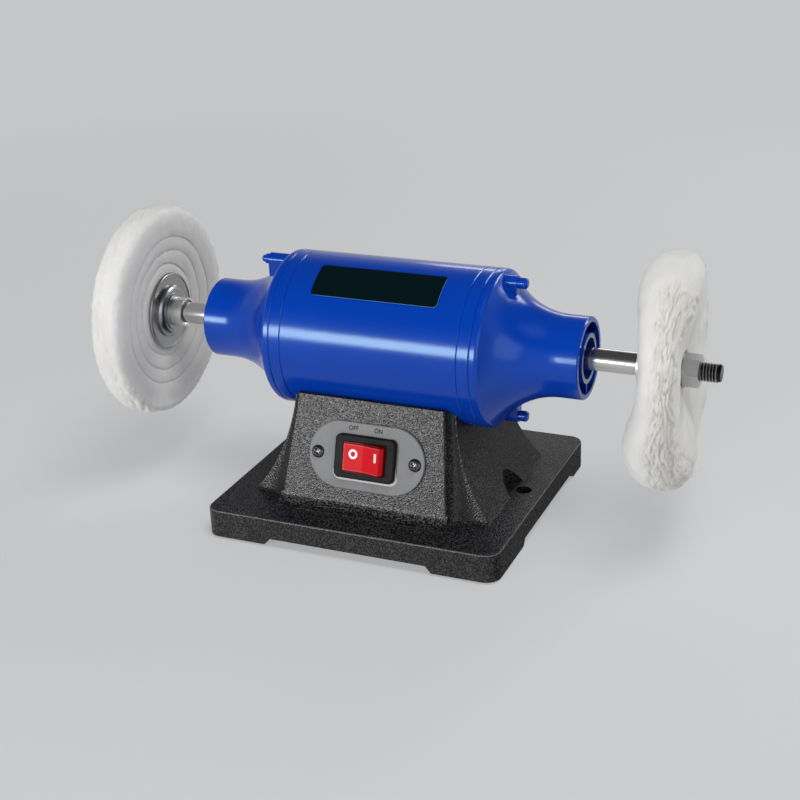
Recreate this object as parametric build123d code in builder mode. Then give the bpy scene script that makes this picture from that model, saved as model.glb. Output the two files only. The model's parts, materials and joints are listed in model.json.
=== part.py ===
from build123d import *
import os
from math import atan2, cos, radians, sin, sqrt

os.makedirs("parts", exist_ok=True)

# Bench polisher: a cast pedestal carries a motor whose spindle comes out at both ends,
# with a cotton buff clamped on each. X runs along the spindle, the switch faces -Y and
# Z is up. The origin is on the bench, under the middle of the base. Millimetres.

# Clearances
seat_gap = 0.02  # radial play of a round fit that stays put
running_gap = 0.05  # radial play of a pin that turns in its bore
loose_gap = 0.3  # room round a piece that drops in or swings past
air_gap = 0.4  # between rotor and stator

# Base plate of the casting
base_length = 210.5
base_depth = 195.5
base_corner = 10.0
base_edge = 1.2
plate_height = 19.5
plate_thickness = 6.0
skirt = 6.0
foot_rise = 4.7
foot_width = 48.75
front_foot_depth = 58.75
back_foot_depth = 31.75
cut_slope = 4.0
pad_lift = 1.5
pad_radius = 8.0
pad_recess = 3.0
pad_boss_wall = 2.5
pad_inset = 13.5
bolt_inset = 14.25
bolt_hole_radius = 5.5
bolt_boss_radius = 12.0
scoop_radius = 14.5

# Pedestal of the casting: two leaning slabs joined by a core with flared wings
slab_setback = 28.25
slab_foot_width = 122.0
slab_top_width = 106.6
slab_rise = 73.0
slab_lip = 3.4
slab_corner = 1.4
wing_setback = 13.1
wing_lean_run = 15.6
wing_toe_step = 25.0
wing_top_step = 5.0
wing_rise = 76.5
recess_share = 0.9  # of the depth from slab corner to wing, rounded out
pedestal_levels = (-0.04, 0.16, 0.37, 0.58, 0.79, 1.0)  # shares of the slab rise
foot_fillet = 2.0
skirt_reach = 7.3
skirt_rise = 7.0
skirt_lip = 0.8
wall = 6.0
axis_over_slab = 29.5

# Bottom cover
cover_thickness = 1.5
cover_margin = 12.0
cover_corner = 6.0
cover_screw_radius = 2.0
cover_screw_head = 3.8
cover_screw_head_height = 2.4
cover_screw_depth = 4.0

# Switch on the front slab
switch_rise = 38.45
switch_shift = 0.8
switch_plate_length = 84.0
switch_plate_width = 46.0
switch_plate_thickness = 2.0
switch_plate_edge = 0.7
plate_screw_inset = 6.7
plate_screw_radius = 2.0
plate_screw_head = 4.5
plate_screw_head_height = 2.2
plate_screw_crown = 1.5
plate_screw_depth = 5.0
bezel_length = 43.7
bezel_width = 29.8
bezel_height = 3.5
bezel_corner = 4.0
bezel_edge = 1.2
switch_body_length = 38.0
switch_body_width = 24.0
switch_body_depth = 26.0
rocker_length = 30.6
rocker_width = 20.6
rocker_sink = 2.5
rocker_dish = 3.6
rocker_swing = 11.0
rocker_top_angle = 22.0
rocker_foot_angle = 15.0
trunnion_radius = 1.5
trunnion_length = 1.5
terminal_width = 6.3
terminal_thickness = 0.8
terminal_length = 8.0
terminal_pitch_x = 16.0
terminal_pitch_y = 12.0

# Motor shell
motor_radius = 53.5
motor_wall = 3.5
housing_half = 63.2
seam_chamfer = 0.5
groove_offset = 8.4
groove_depth = 0.6
rim_offset = 13.4
rim_round = 1.4
rim_crown = 0.6
bell_step = 2.4
bell_wall = 4.0
trumpet_length = 43.0
nose_length = 15.0
nose_wall = 3.6
nose_gap = 3.0
nose_edge = 0.8
web_depth = 24.0
web_thickness = 5.0
hub_wall = 3.5
hub_step = 4.0
lip_length = 11.0
lip_wall = 3.1
lip_step = 3.8
rib_count = 3
rib_thickness = 2.0
rib_setback = 1.5
spigot_length = 4.0
spigot_wall = 3.5
tie_inset = 6.5
tie_bolt_radius = 2.5
tie_hole_play = 0.3
lug_radius = 4.6
lug_skirt = 12.0
left_lug_length = 15.0
right_lug_length = 10.0
tie_head_radius = 3.7
tie_head_height = 6.5
tie_head_edge = 2.0
tie_nut_radius = 3.5
tie_nut_height = 3.8
tie_nut_edge = 0.5
tie_end_round = 1.6
name_plate_length = 90.0
name_plate_low_angle = 45.0
name_plate_high_angle = 73.0
name_plate_thickness = 0.8
name_plate_corner = 2.5

# Motor works
stack_half = 30.0
rotor_radius = 29.0
slot_count = 24
slot_width = 3.4
slot_depth = 8.5
slot_mouth = 1.6
slot_lip = 1.5
winding_reach = 16.0
winding_inset = 2.1
winding_clearance = 2.0
winding_round = 3.0
winding_edge_share = 0.45  # of the head's thickness, at most
rotor_ring_reach = 7.0
rotor_ring_height = 8.0
rotor_ring_inset = 0.5

# Spindle and its bearings
core_radius = 9.0
journal_radius = 7.5
thread_radius = 6.35
thread_tail = 13.2
spindle_chamfer = 1.2
shoulder_depth = 3.0
bearing_depth = 27.0
bearing_width = 11.0
bearing_radius = 17.5
ball_count = 8
ball_radius = 2.8
ball_play = 0.25
race_half_gap = 2.0
cage_half_width = 3.8
cage_half_height = 0.9
seal_thickness = 0.9
wave_washer_height = 1.5
wave_washer_width = 3.5

# What clamps the buffs
sleeve_radius = 10.5
left_sleeve_offset = 29.0
right_sleeve_offset = 33.5
sleeve_counterbore = 9.3
sleeve_counterbore_depth = 2.5
flange_radius = 27.5
flange_offset = 45.0
flange_depth = 7.5
flange_rim = 2.6
flange_bead = 0.9
boss_radius = 19.0
boss_step = 1.6
neck_radius = 13.8
neck_step = 1.0
dome_share = 0.65
buff_hub = 14.8
buff_bore_play = 0.1
washer_radius = 11.0
washer_thickness = 2.6
nut_flats = 19.0
nut_height = 11.0
nut_chamfer_angle = 30.0

# Left buff: stitched cotton, flat sides drawn in along rings of sewing
sewn_buff_radius = 75.0
sewn_buff_thickness = 18.0
sewn_count = 3
sewn_start = 4.5
sewn_pitch = 10.0
sewn_channel = 0.9
sewn_rim_round = 9.0
sewn_land_gap = 1.5

# Right buff: loose cotton, thick at the rim and swung off square
loose_buff_radius = 77.0
loose_buff_half = 13.2
loose_buff_half_swell = 2.0
loose_buff_swell_angle = 235.0
loose_buff_set = 2.6
loose_buff_swing = 5.5
loose_buff_land_gap = 2.0
loose_buff_belly = 1.5
loose_buff_sectors = 12

# Wiring inside the pedestal
capacitor_radius = 15.0
capacitor_length = 55.0
capacitor_edge = 2.0
capacitor_place = 35.0
clip_thickness = 1.2
clip_width = 12.0
clip_foot = 9.0
block_length = 30.0
block_width = 16.0
block_height = 12.0
block_setback = 65.0
block_ways = 3
block_screw_radius = 2.2
block_screw_depth = 5.0
stud_spacing = 40.0
stud_radius = 3.0
stud_bite = 2.5
stud_tail = 2.5
stud_boss_radius = 8.0
stud_boss_drop = 1.0
stud_nut_flats = 10.0
stud_nut_height = 5.0
grommet_place = 38.0
grommet_angle = 20.0  # forwards from straight down, clear of the lower tie bolt
grommet_wall = 2.7
grommet_lip = 2.0
grommet_flange_height = 1.5
lead_radius = 3.0
lead_bend = 10.0
lead_drop = 8.0
switch_lead_radius = 2.4
switch_lead_bend = 7.0

# Cable gland at the back of the pedestal
gland_place = -36.0
gland_rise = 24.0
gland_thread = 6.0
gland_bore = 4.0
gland_throat = 4.7
gland_flats = 18.0
gland_collar = 5.0
gland_cap_radius = 8.0
gland_cap = 8.0
gland_tail = 7.0
gland_edge = 1.5
locknut_height = 4.0

# Levels and slopes that follow from the sizes
casting_floor = pad_lift
plate_top = casting_floor + plate_height
plate_under = plate_top - plate_thickness
spindle_height = plate_top + slab_rise + axis_over_slab
saddle_radius = motor_radius + loose_gap
slab_foot_depth = base_depth / 2 - slab_setback
block_place = block_setback - slab_foot_depth
slab_top_depth = sqrt(saddle_radius**2 - axis_over_slab**2) + slab_lip
lean_run = slab_foot_depth - slab_top_depth
lean = atan2(lean_run, slab_rise)
slab_wall = wall / cos(lean)
wing_depth = slab_foot_depth - wing_setback
wing_toe_width = slab_foot_width + 2 * wing_toe_step
wing_top_width = slab_top_width + 2 * wing_top_step
bolt_spacing = base_length - 2 * bolt_inset
plate_screw_spacing = switch_plate_length - 2 * plate_screw_inset
flare = (wing_toe_width - wing_top_width) / 2
flare_radius = (flare**2 + wing_rise**2) / (2 * flare)
hub_radius = bearing_radius + hub_wall
lip_bore = bearing_radius - lip_step
lip_radius = lip_bore + lip_wall
nose_bore = hub_radius + nose_gap
nose_radius = nose_bore + nose_wall
tie_radius = motor_radius - tie_inset
groove_reach = housing_half + groove_offset
rim_reach = housing_half + rim_offset
bell_start = rim_reach + rim_round
lug_reaches = {"left": bell_start + left_lug_length, "right": bell_start + right_lug_length}
nose_start = bell_start + trumpet_length
nose_end = nose_start + nose_length
web_end = nose_end - web_depth
lip_start = nose_end - lip_length
bell_shoulder = motor_radius - bell_step
bell_drop = bell_shoulder - nose_radius
bell_run = nose_start - bell_start
bell_arc = (bell_run**2 + bell_drop**2) / (2 * bell_drop)
motor_bore = motor_radius - motor_wall
stator_bore = rotor_radius + air_gap
winding_inner = stator_bore + winding_inset
winding_outer = tie_radius - tie_bolt_radius - winding_clearance
winding_edge = min(winding_round, winding_edge_share * (winding_outer - winding_inner))
bearing_reach = nose_end - bearing_depth
bearing_mid = bearing_reach + bearing_width / 2
bearing_end = bearing_reach + bearing_width
race_path = (journal_radius + bearing_radius) / 2
sleeve_reaches = {"left": nose_end + left_sleeve_offset, "right": nose_end + right_sleeve_offset}
flange_face = nose_end + flange_offset
neck_start = flange_face - flange_depth
shoulder_reach = flange_face - shoulder_depth
washer_start = flange_face + buff_hub
nut_start = washer_start + washer_thickness
nut_end = nut_start + nut_height
spindle_half = nut_end + thread_tail
sewn_land = flange_radius + sewn_land_gap
sewn_rings = [sewn_land + sewn_start + sewn_pitch * ring for ring in range(sewn_count)]
cover_top = plate_under
saddle_floor = spindle_height - saddle_radius
saddle_under = saddle_floor - wall
stud_seat = saddle_under - stud_boss_drop

sides = (("left", -1), ("right", 1))
spindle_axis = Axis((0, 0, spindle_height), (1, 0, 0))


# A plane through the spindle axis: its x runs outwards on one side, its y is the radius
def spindle_plane(way):
    return Plane(origin=(0, 0, spindle_height), x_dir=(way, 0, 0), z_dir=(0, -way, 0))


# A plane square to the spindle at some reach, facing outwards, with its y up
def face_plane(way, reach):
    return Plane(origin=(way * reach, 0, spindle_height), x_dir=(0, way, 0), z_dir=(way, 0, 0))


# A closed profile of straight lines, given as (reach, radius), ready to be turned
def turned(way, *points):
    with BuildSketch(spindle_plane(way)) as profile:
        with BuildLine():
            Polyline(*points, close=True)
        make_face()
    return profile.sketch


# A plain ring between two reaches and two radii, ready to be turned
def ring(way, start, end, inner, outer):
    return turned(way, (start, inner), (end, inner), (end, outer), (start, outer))


# A quarter arc from one point to another round a centre
def quarter_arc(start, centre, end):
    spread = Vector(*start) + Vector(*end) - 2 * Vector(*centre)
    radius = (Vector(*start) - Vector(*centre)).length
    middle = Vector(*centre) + spread.normalized() * radius
    return ThreePointArc(start, (middle.X, middle.Y), end)


# Half width of the leaning slabs and of the wings at a height over the plate
def slab_half(rise):
    return (slab_foot_width + (slab_top_width - slab_foot_width) * rise / slab_rise) / 2


def wing_half(rise):
    return wing_top_width / 2 + flare_radius - sqrt(flare_radius**2 - (wing_rise - rise) ** 2)


# How far from the middle a leaning face stands at a height over the plate
def leaning(depth, rise):
    return depth - lean_run * rise / slab_rise


# Pull of the control points that bends a Bezier curve into a quarter of an ellipse
oval = 4 * (sqrt(2) - 1) / 3


# Level section of the pedestal: slab faces, rounded slab corners, recesses and wing sides
def pedestal_section(rise):
    slab = slab_half(rise)
    wing = wing_half(rise)
    front = leaning(slab_foot_depth, rise)
    wing_end = wing_depth - wing_lean_run * rise / slab_rise
    recess = recess_share * (front - slab_corner - wing_end)
    step = wing - slab
    flat = slab - slab_corner
    with BuildSketch(Plane.XY.offset(plate_top + rise)) as section:
        with BuildLine():
            for x in (-1, 1):
                Line((-flat, x * front), (flat, x * front))
                Line((x * wing, -wing_end), (x * wing, wing_end))
                for y in (-1, 1):
                    corner_end = (x * slab, y * (front - slab_corner))
                    corner_centre = (x * flat, y * (front - slab_corner))
                    recess_start = (x * slab, y * (wing_end + recess))
                    recess_end = (x * wing, y * wing_end)
                    first_pull = (x * slab, y * (wing_end + (1 - oval) * recess))
                    second_pull = (x * (wing - oval * step), y * wing_end)
                    quarter_arc((x * flat, y * front), corner_centre, corner_end)
                    Line(corner_end, recess_start)
                    Bezier(recess_start, first_pull, second_pull, recess_end)
        make_face()
    return section.sketch


# Level section of the hollow inside the pedestal
def cavity_section(rise):
    with BuildSketch(Plane.XY.offset(plate_top + rise)) as section:
        Rectangle(
            2 * (slab_half(rise) - wall),
            2 * (leaning(slab_foot_depth, rise) - slab_wall),
        )
    return section.sketch


# Planes that lie on the front and back slabs, with y up the slope
front_slab = Plane(
    origin=(0, -slab_foot_depth, plate_top), x_dir=(1, 0, 0), z_dir=(0, -cos(lean), sin(lean))
)
back_slab = Plane(
    origin=(0, slab_foot_depth, plate_top), x_dir=(-1, 0, 0), z_dir=(0, cos(lean), sin(lean))
)
switch_plane = front_slab.shift_origin(front_slab.from_local_coords((switch_shift, switch_rise, 0)))
gland_plane = back_slab.shift_origin(back_slab.from_local_coords((gland_place, gland_rise, 0)))

# A plane square to the motor lead where it crosses the housing, at some radius from the spindle
grommet_bore = lead_radius + loose_gap
grommet_radius = grommet_bore + grommet_wall
grommet_flange = grommet_radius + grommet_lip
grommet_lean = radians(grommet_angle)
lead_way = Vector(0, -sin(grommet_lean), -cos(grommet_lean))


def grommet_plane(radius):
    middle = Vector(grommet_place, 0, spindle_height) + lead_way * radius
    return Plane(origin=middle, x_dir=(1, 0, 0), z_dir=lead_way)



pad_places = [
    (end, side, x * (base_length / 2 - pad_inset), y * (base_depth / 2 - pad_inset))
    for end, y in (("front", -1), ("back", 1))
    for side, x in sides
]
cover_length = 2 * (slab_half(-plate_thickness) - wall + cover_margin)
cover_depth = 2 * (leaning(slab_foot_depth, -plate_thickness) - slab_wall + cover_margin)
cover_screw_places = [
    (x * (cover_length / 2 - cover_margin / 2), y * (cover_depth / 2 - cover_margin / 2))
    for x in (-1, 1)
    for y in (-1, 1)
]
bolt_places = [(-bolt_spacing / 2, 0), (bolt_spacing / 2, 0)]
stud_places = [(-stud_spacing / 2, 0), (stud_spacing / 2, 0)]
plate_screw_places = [(-plate_screw_spacing / 2, 0), (plate_screw_spacing / 2, 0)]

# The hollow under the saddle that holds the switch and the wiring
with BuildPart() as cavity:
    loft([cavity_section(-plate_thickness), cavity_section(slab_rise)])
    with BuildSketch(face_plane(1, 0)):
        Circle(saddle_radius + wall)
    extrude(amount=base_length, both=True, mode=Mode.SUBTRACT)
    with BuildSketch(Plane.XY.offset(stud_seat)):
        with Locations(*stud_places):
            Circle(stud_boss_radius)
    extrude(amount=slab_rise, mode=Mode.SUBTRACT)

# Base casting
with BuildPart() as base_casting:
    with BuildSketch(Plane.XY.offset(casting_floor)):
        RectangleRounded(base_length, base_depth, base_corner)
    extrude(amount=plate_height)
    fillet(base_casting.edges().group_by(Axis.Z)[-1], base_edge)
    loft([pedestal_section(slab_rise * level) for level in pedestal_levels])
    foot_edges = base_casting.edges().filter_by_position(Axis.Z, plate_top, plate_top)
    front_feet = foot_edges.filter_by_position(Axis.Y, -slab_foot_depth, -wing_depth)
    back_feet = foot_edges.filter_by_position(Axis.Y, wing_depth, slab_foot_depth)
    fillet(front_feet + back_feet, foot_fillet)
    # Skirts that carry the slabs out onto the plate in a hollow curve
    for y in (-1, 1):
        toe = slab_foot_depth + skirt_reach
        brow = leaning(slab_foot_depth, skirt_rise)
        with BuildSketch(Plane.YZ):
            with BuildLine():
                TangentArc(
                    (y * brow, plate_top + skirt_rise),
                    (y * toe, plate_top + skirt_lip),
                    tangent=(y * sin(lean), -cos(lean)),
                )
                Polyline(
                    (y * toe, plate_top + skirt_lip),
                    (y * toe, plate_top - wall / 2),
                    (y * (brow - wall / 2), plate_top - wall / 2),
                    (y * (brow - wall / 2), plate_top + skirt_rise),
                    (y * brow, plate_top + skirt_rise),
                )
            make_face()
        extrude(amount=slab_half(0), both=True)
    with BuildSketch(face_plane(1, 0)):
        Circle(saddle_radius)
    extrude(amount=base_length, both=True, mode=Mode.SUBTRACT)
    # Room for a spanner over each bench bolt
    with BuildSketch(Plane.XY.offset(plate_top)):
        with Locations(*bolt_places):
            Circle(scoop_radius)
    extrude(amount=slab_rise, mode=Mode.SUBTRACT)
    # Underside: a pocket with bosses left for the pads and the bench bolts
    with BuildSketch(Plane.XY.offset(casting_floor)):
        RectangleRounded(base_length - 2 * skirt, base_depth - 2 * skirt, base_corner - skirt / 2)
        with Locations(*[(x, y) for _, _, x, y in pad_places]):
            Circle(pad_radius + pad_boss_wall, mode=Mode.SUBTRACT)
        with Locations(*bolt_places):
            Circle(bolt_boss_radius, mode=Mode.SUBTRACT)
    extrude(amount=plate_under - casting_floor, mode=Mode.SUBTRACT)
    with BuildSketch(Plane.XY.offset(casting_floor)):
        with Locations(*[(x, y) for _, _, x, y in pad_places]):
            Circle(pad_radius + seat_gap)
    extrude(amount=pad_recess, mode=Mode.SUBTRACT)
    with BuildSketch(Plane.XY.offset(casting_floor)):
        with Locations(*bolt_places):
            Circle(bolt_hole_radius)
    extrude(amount=plate_height, mode=Mode.SUBTRACT)
    # Raised lower edge between the corner feet
    with BuildSketch(Plane.XZ):
        with BuildLine():
            roof = base_length / 2 - foot_width
            Polyline(
                (-roof - cut_slope, casting_floor),
                (roof + cut_slope, casting_floor),
                (roof, casting_floor + foot_rise),
                (-roof, casting_floor + foot_rise),
                close=True,
            )
        make_face()
    extrude(amount=base_depth, both=True, mode=Mode.SUBTRACT)
    with BuildSketch(Plane.YZ):
        with BuildLine():
            side_cut_front = base_depth / 2 - front_foot_depth
            side_cut_back = base_depth / 2 - back_foot_depth
            Polyline(
                (-side_cut_front - cut_slope, casting_floor),
                (side_cut_back + cut_slope, casting_floor),
                (side_cut_back, casting_floor + foot_rise),
                (-side_cut_front, casting_floor + foot_rise),
                close=True,
            )
        make_face()
    extrude(amount=base_length, both=True, mode=Mode.SUBTRACT)
    # The hollow and everything that goes through its walls
    add(cavity.part, mode=Mode.SUBTRACT)
    with BuildSketch(switch_plane):
        Rectangle(switch_body_length + 2 * loose_gap, switch_body_width + 2 * loose_gap)
    extrude(amount=-2 * wall, mode=Mode.SUBTRACT)
    with BuildSketch(switch_plane):
        with Locations(*plate_screw_places):
            Circle(plate_screw_radius + seat_gap)
    extrude(amount=-plate_screw_depth, mode=Mode.SUBTRACT)
    with BuildSketch(gland_plane):
        Circle(gland_thread + seat_gap)
    extrude(amount=-2 * wall, mode=Mode.SUBTRACT)
    with BuildSketch(Plane.XY.offset(cover_top)):
        with Locations(*cover_screw_places):
            Circle(cover_screw_radius + seat_gap)
    extrude(amount=cover_screw_depth, mode=Mode.SUBTRACT)
    with BuildSketch(Plane.XY.offset(stud_seat)):
        with Locations(*stud_places):
            Circle(stud_radius + loose_gap)
    extrude(amount=2 * wall, mode=Mode.SUBTRACT)
    with BuildSketch(grommet_plane(motor_bore)):
        Circle(grommet_radius + seat_gap)
    extrude(amount=3 * wall, mode=Mode.SUBTRACT)
base_casting.part.label = "base_casting"
export_step(base_casting.part, "parts/base_casting.step")

# Rubber pads under the corners
for end, side, x, y in pad_places:
    with BuildPart() as rubber_pad:
        with BuildSketch():
            with Locations((x, y)):
                Circle(pad_radius)
        extrude(amount=pad_lift + pad_recess)
    rubber_pad.part.label = f"{end}_{side}_pad"
    export_step(rubber_pad.part, f"parts/{end}_{side}_pad.step")

# Sheet cover that closes the hollow from below, and its screws
with BuildPart() as bottom_cover:
    with BuildSketch(Plane.XY.offset(cover_top - cover_thickness)):
        RectangleRounded(cover_length, cover_depth, cover_corner)
        with Locations(*cover_screw_places):
            Circle(cover_screw_radius + seat_gap, mode=Mode.SUBTRACT)
    extrude(amount=cover_thickness)
bottom_cover.part.label = "bottom_cover"
export_step(bottom_cover.part, "parts/bottom_cover.step")

with BuildPart() as cover_screws:
    with BuildSketch(Plane.XY.offset(cover_top - cover_thickness)):
        with Locations(*cover_screw_places):
            Circle(cover_screw_head)
    extrude(amount=-cover_screw_head_height)
    with BuildSketch(Plane.XY.offset(cover_top - cover_thickness)):
        with Locations(*cover_screw_places):
            Circle(cover_screw_radius)
    extrude(amount=cover_thickness + cover_screw_depth)
cover_screws.part.label = "bottom_cover_screws"
export_step(cover_screws.part, "parts/bottom_cover_screws.step")

# Oval plate that carries the switch
with BuildPart() as switch_plate:
    with BuildSketch(switch_plane):
        SlotOverall(switch_plate_length, switch_plate_width)
    extrude(amount=switch_plate_thickness)
    plate_outward = Axis(switch_plane.origin, switch_plane.z_dir)
    fillet(switch_plate.faces().sort_by(plate_outward)[-1].edges(), switch_plate_edge)
    with BuildSketch(switch_plane):
        Rectangle(switch_body_length + 2 * loose_gap, switch_body_width + 2 * loose_gap)
        with Locations(*plate_screw_places):
            Circle(plate_screw_radius + seat_gap)
    extrude(amount=switch_plate_thickness, mode=Mode.SUBTRACT)
switch_plate.part.label = "switch_plate"
export_step(switch_plate.part, "parts/switch_plate.step")

plate_face = switch_plane.offset(switch_plate_thickness)
with BuildPart() as plate_screws:
    with BuildSketch(plate_face):
        with Locations(*plate_screw_places):
            Circle(plate_screw_head)
    extrude(amount=plate_screw_head_height)
    fillet(plate_screws.edges().group_by(plate_outward)[-1], plate_screw_crown)
    with BuildSketch(plate_face):
        with Locations(*plate_screw_places):
            Circle(plate_screw_radius)
    extrude(amount=-switch_plate_thickness - plate_screw_depth)
plate_screws.part.label = "switch_plate_screws"
export_step(plate_screws.part, "parts/switch_plate_screws.step")

# Switch body with its bezel, open in front for the rocker
bezel_face = plate_face.offset(bezel_height)
pivot = bezel_face.from_local_coords((0, 0, -rocker_sink))
rocker_end = rocker_length / 2
pocket_depth = rocker_sink + rocker_end * sin(radians(rocker_foot_angle + rocker_swing)) + loose_gap
trunnion_plane = Plane(pivot, x_dir=switch_plane.x_dir, z_dir=-switch_plane.y_dir)
with BuildPart() as switch_body:
    with BuildSketch(plate_face):
        RectangleRounded(bezel_length, bezel_width, bezel_corner)
    extrude(amount=bezel_height)
    fillet(switch_body.faces().sort_by(plate_outward)[-1].edges(), bezel_edge)
    with BuildSketch(plate_face):
        Rectangle(switch_body_length, switch_body_width)
    extrude(amount=-switch_body_depth)
    with BuildSketch(bezel_face):
        Rectangle(rocker_length + 2 * loose_gap, rocker_width + 2 * loose_gap)
    extrude(amount=-pocket_depth, mode=Mode.SUBTRACT)
    with BuildSketch(trunnion_plane):
        Circle(trunnion_radius + running_gap)
    extrude(
        amount=rocker_width / 2 + trunnion_length + loose_gap, both=True, mode=Mode.SUBTRACT
    )
switch_body.part.label = "switch_body"
export_step(switch_body.part, "parts/switch_body.step")

# Rocker, at rest with its off side pressed in
tilt = radians(rocker_swing)
rocker_plane = Plane(
    pivot,
    x_dir=switch_plane.x_dir * cos(tilt) + switch_plane.z_dir * sin(tilt),
    z_dir=-switch_plane.y_dir,
)
top_x = rocker_end * cos(radians(rocker_top_angle))
top_y = rocker_end * sin(radians(rocker_top_angle))
foot_x = rocker_end * cos(radians(rocker_foot_angle))
foot_y = -rocker_end * sin(radians(rocker_foot_angle))
with BuildPart() as rocker:
    with BuildSketch(rocker_plane):
        with BuildLine():
            Polyline((-top_x, top_y), (0, rocker_dish), (top_x, top_y))
            ThreePointArc((top_x, top_y), (rocker_end, 0), (foot_x, foot_y))
            Line((foot_x, foot_y), (-foot_x, foot_y))
            ThreePointArc((-foot_x, foot_y), (-rocker_end, 0), (-top_x, top_y))
        make_face()
    extrude(amount=rocker_width / 2, both=True)
    with BuildSketch(rocker_plane):
        Circle(trunnion_radius)
    extrude(amount=rocker_width / 2 + trunnion_length, both=True)
rocker.part.label = "rocker"
export_step(rocker.part, "parts/rocker.step")

switch_back = plate_face.offset(-switch_body_depth)
with BuildPart() as terminals:
    with BuildSketch(switch_back):
        with GridLocations(terminal_pitch_x, terminal_pitch_y, 2, 2):
            Rectangle(terminal_width, terminal_thickness)
    extrude(amount=-terminal_length)
terminals.part.label = "switch_terminals"
export_step(terminals.part, "parts/switch_terminals.step")

# Motor housing: a tube that lies in the saddle, drilled for its studs and its lead
with BuildPart() as housing:
    revolve(
        turned(
            1,
            (-housing_half, motor_bore),
            (housing_half, motor_bore),
            (housing_half, motor_radius - seam_chamfer),
            (housing_half - seam_chamfer, motor_radius),
            (seam_chamfer - housing_half, motor_radius),
            (-housing_half, motor_radius - seam_chamfer),
        ),
        axis=spindle_axis,
    )
    with BuildSketch(Plane.XY.offset(spindle_height - motor_radius - motor_wall)):
        with Locations(*stud_places):
            Circle(stud_radius + seat_gap)
    extrude(amount=motor_wall + stud_bite, mode=Mode.SUBTRACT)
    with BuildSketch(grommet_plane(motor_bore - motor_wall)):
        Circle(grommet_radius + seat_gap)
    extrude(amount=3 * motor_wall, mode=Mode.SUBTRACT)
housing.part.label = "motor_housing"
export_step(housing.part, "parts/motor_housing.step")

# Bare rating plate, bent to the housing
with BuildPart() as name_plate:
    with BuildSketch(Plane.YZ):
        with BuildLine():
            inner = motor_radius + seat_gap
            outer = inner + name_plate_thickness
            middle = (name_plate_low_angle + name_plate_high_angle) / 2
            bend = (name_plate_low_angle, middle, name_plate_high_angle)
            corners = [
                [
                    (-radius * cos(radians(angle)), spindle_height + radius * sin(radians(angle)))
                    for angle in bend
                ]
                for radius in (inner, outer)
            ]
            ThreePointArc(*corners[0])
            Line(corners[0][2], corners[1][2])
            ThreePointArc(*corners[1])
            Line(corners[0][0], corners[1][0])
        make_face()
    extrude(amount=name_plate_length / 2, both=True)
    short_edges = name_plate.edges().filter_by(GeomType.LINE).filter_by(
        lambda edge: edge.length < 2 * name_plate_thickness
    )
    fillet(short_edges, name_plate_corner)
name_plate.part.label = "name_plate"
export_step(name_plate.part, "parts/name_plate.step")


# Radius of the trumpet of an end bell at some reach, or of a wall inside it
def bell_radius(reach, inset=0.0):
    return nose_radius + bell_arc - sqrt((bell_arc + inset) ** 2 - (nose_start - reach) ** 2)


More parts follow.
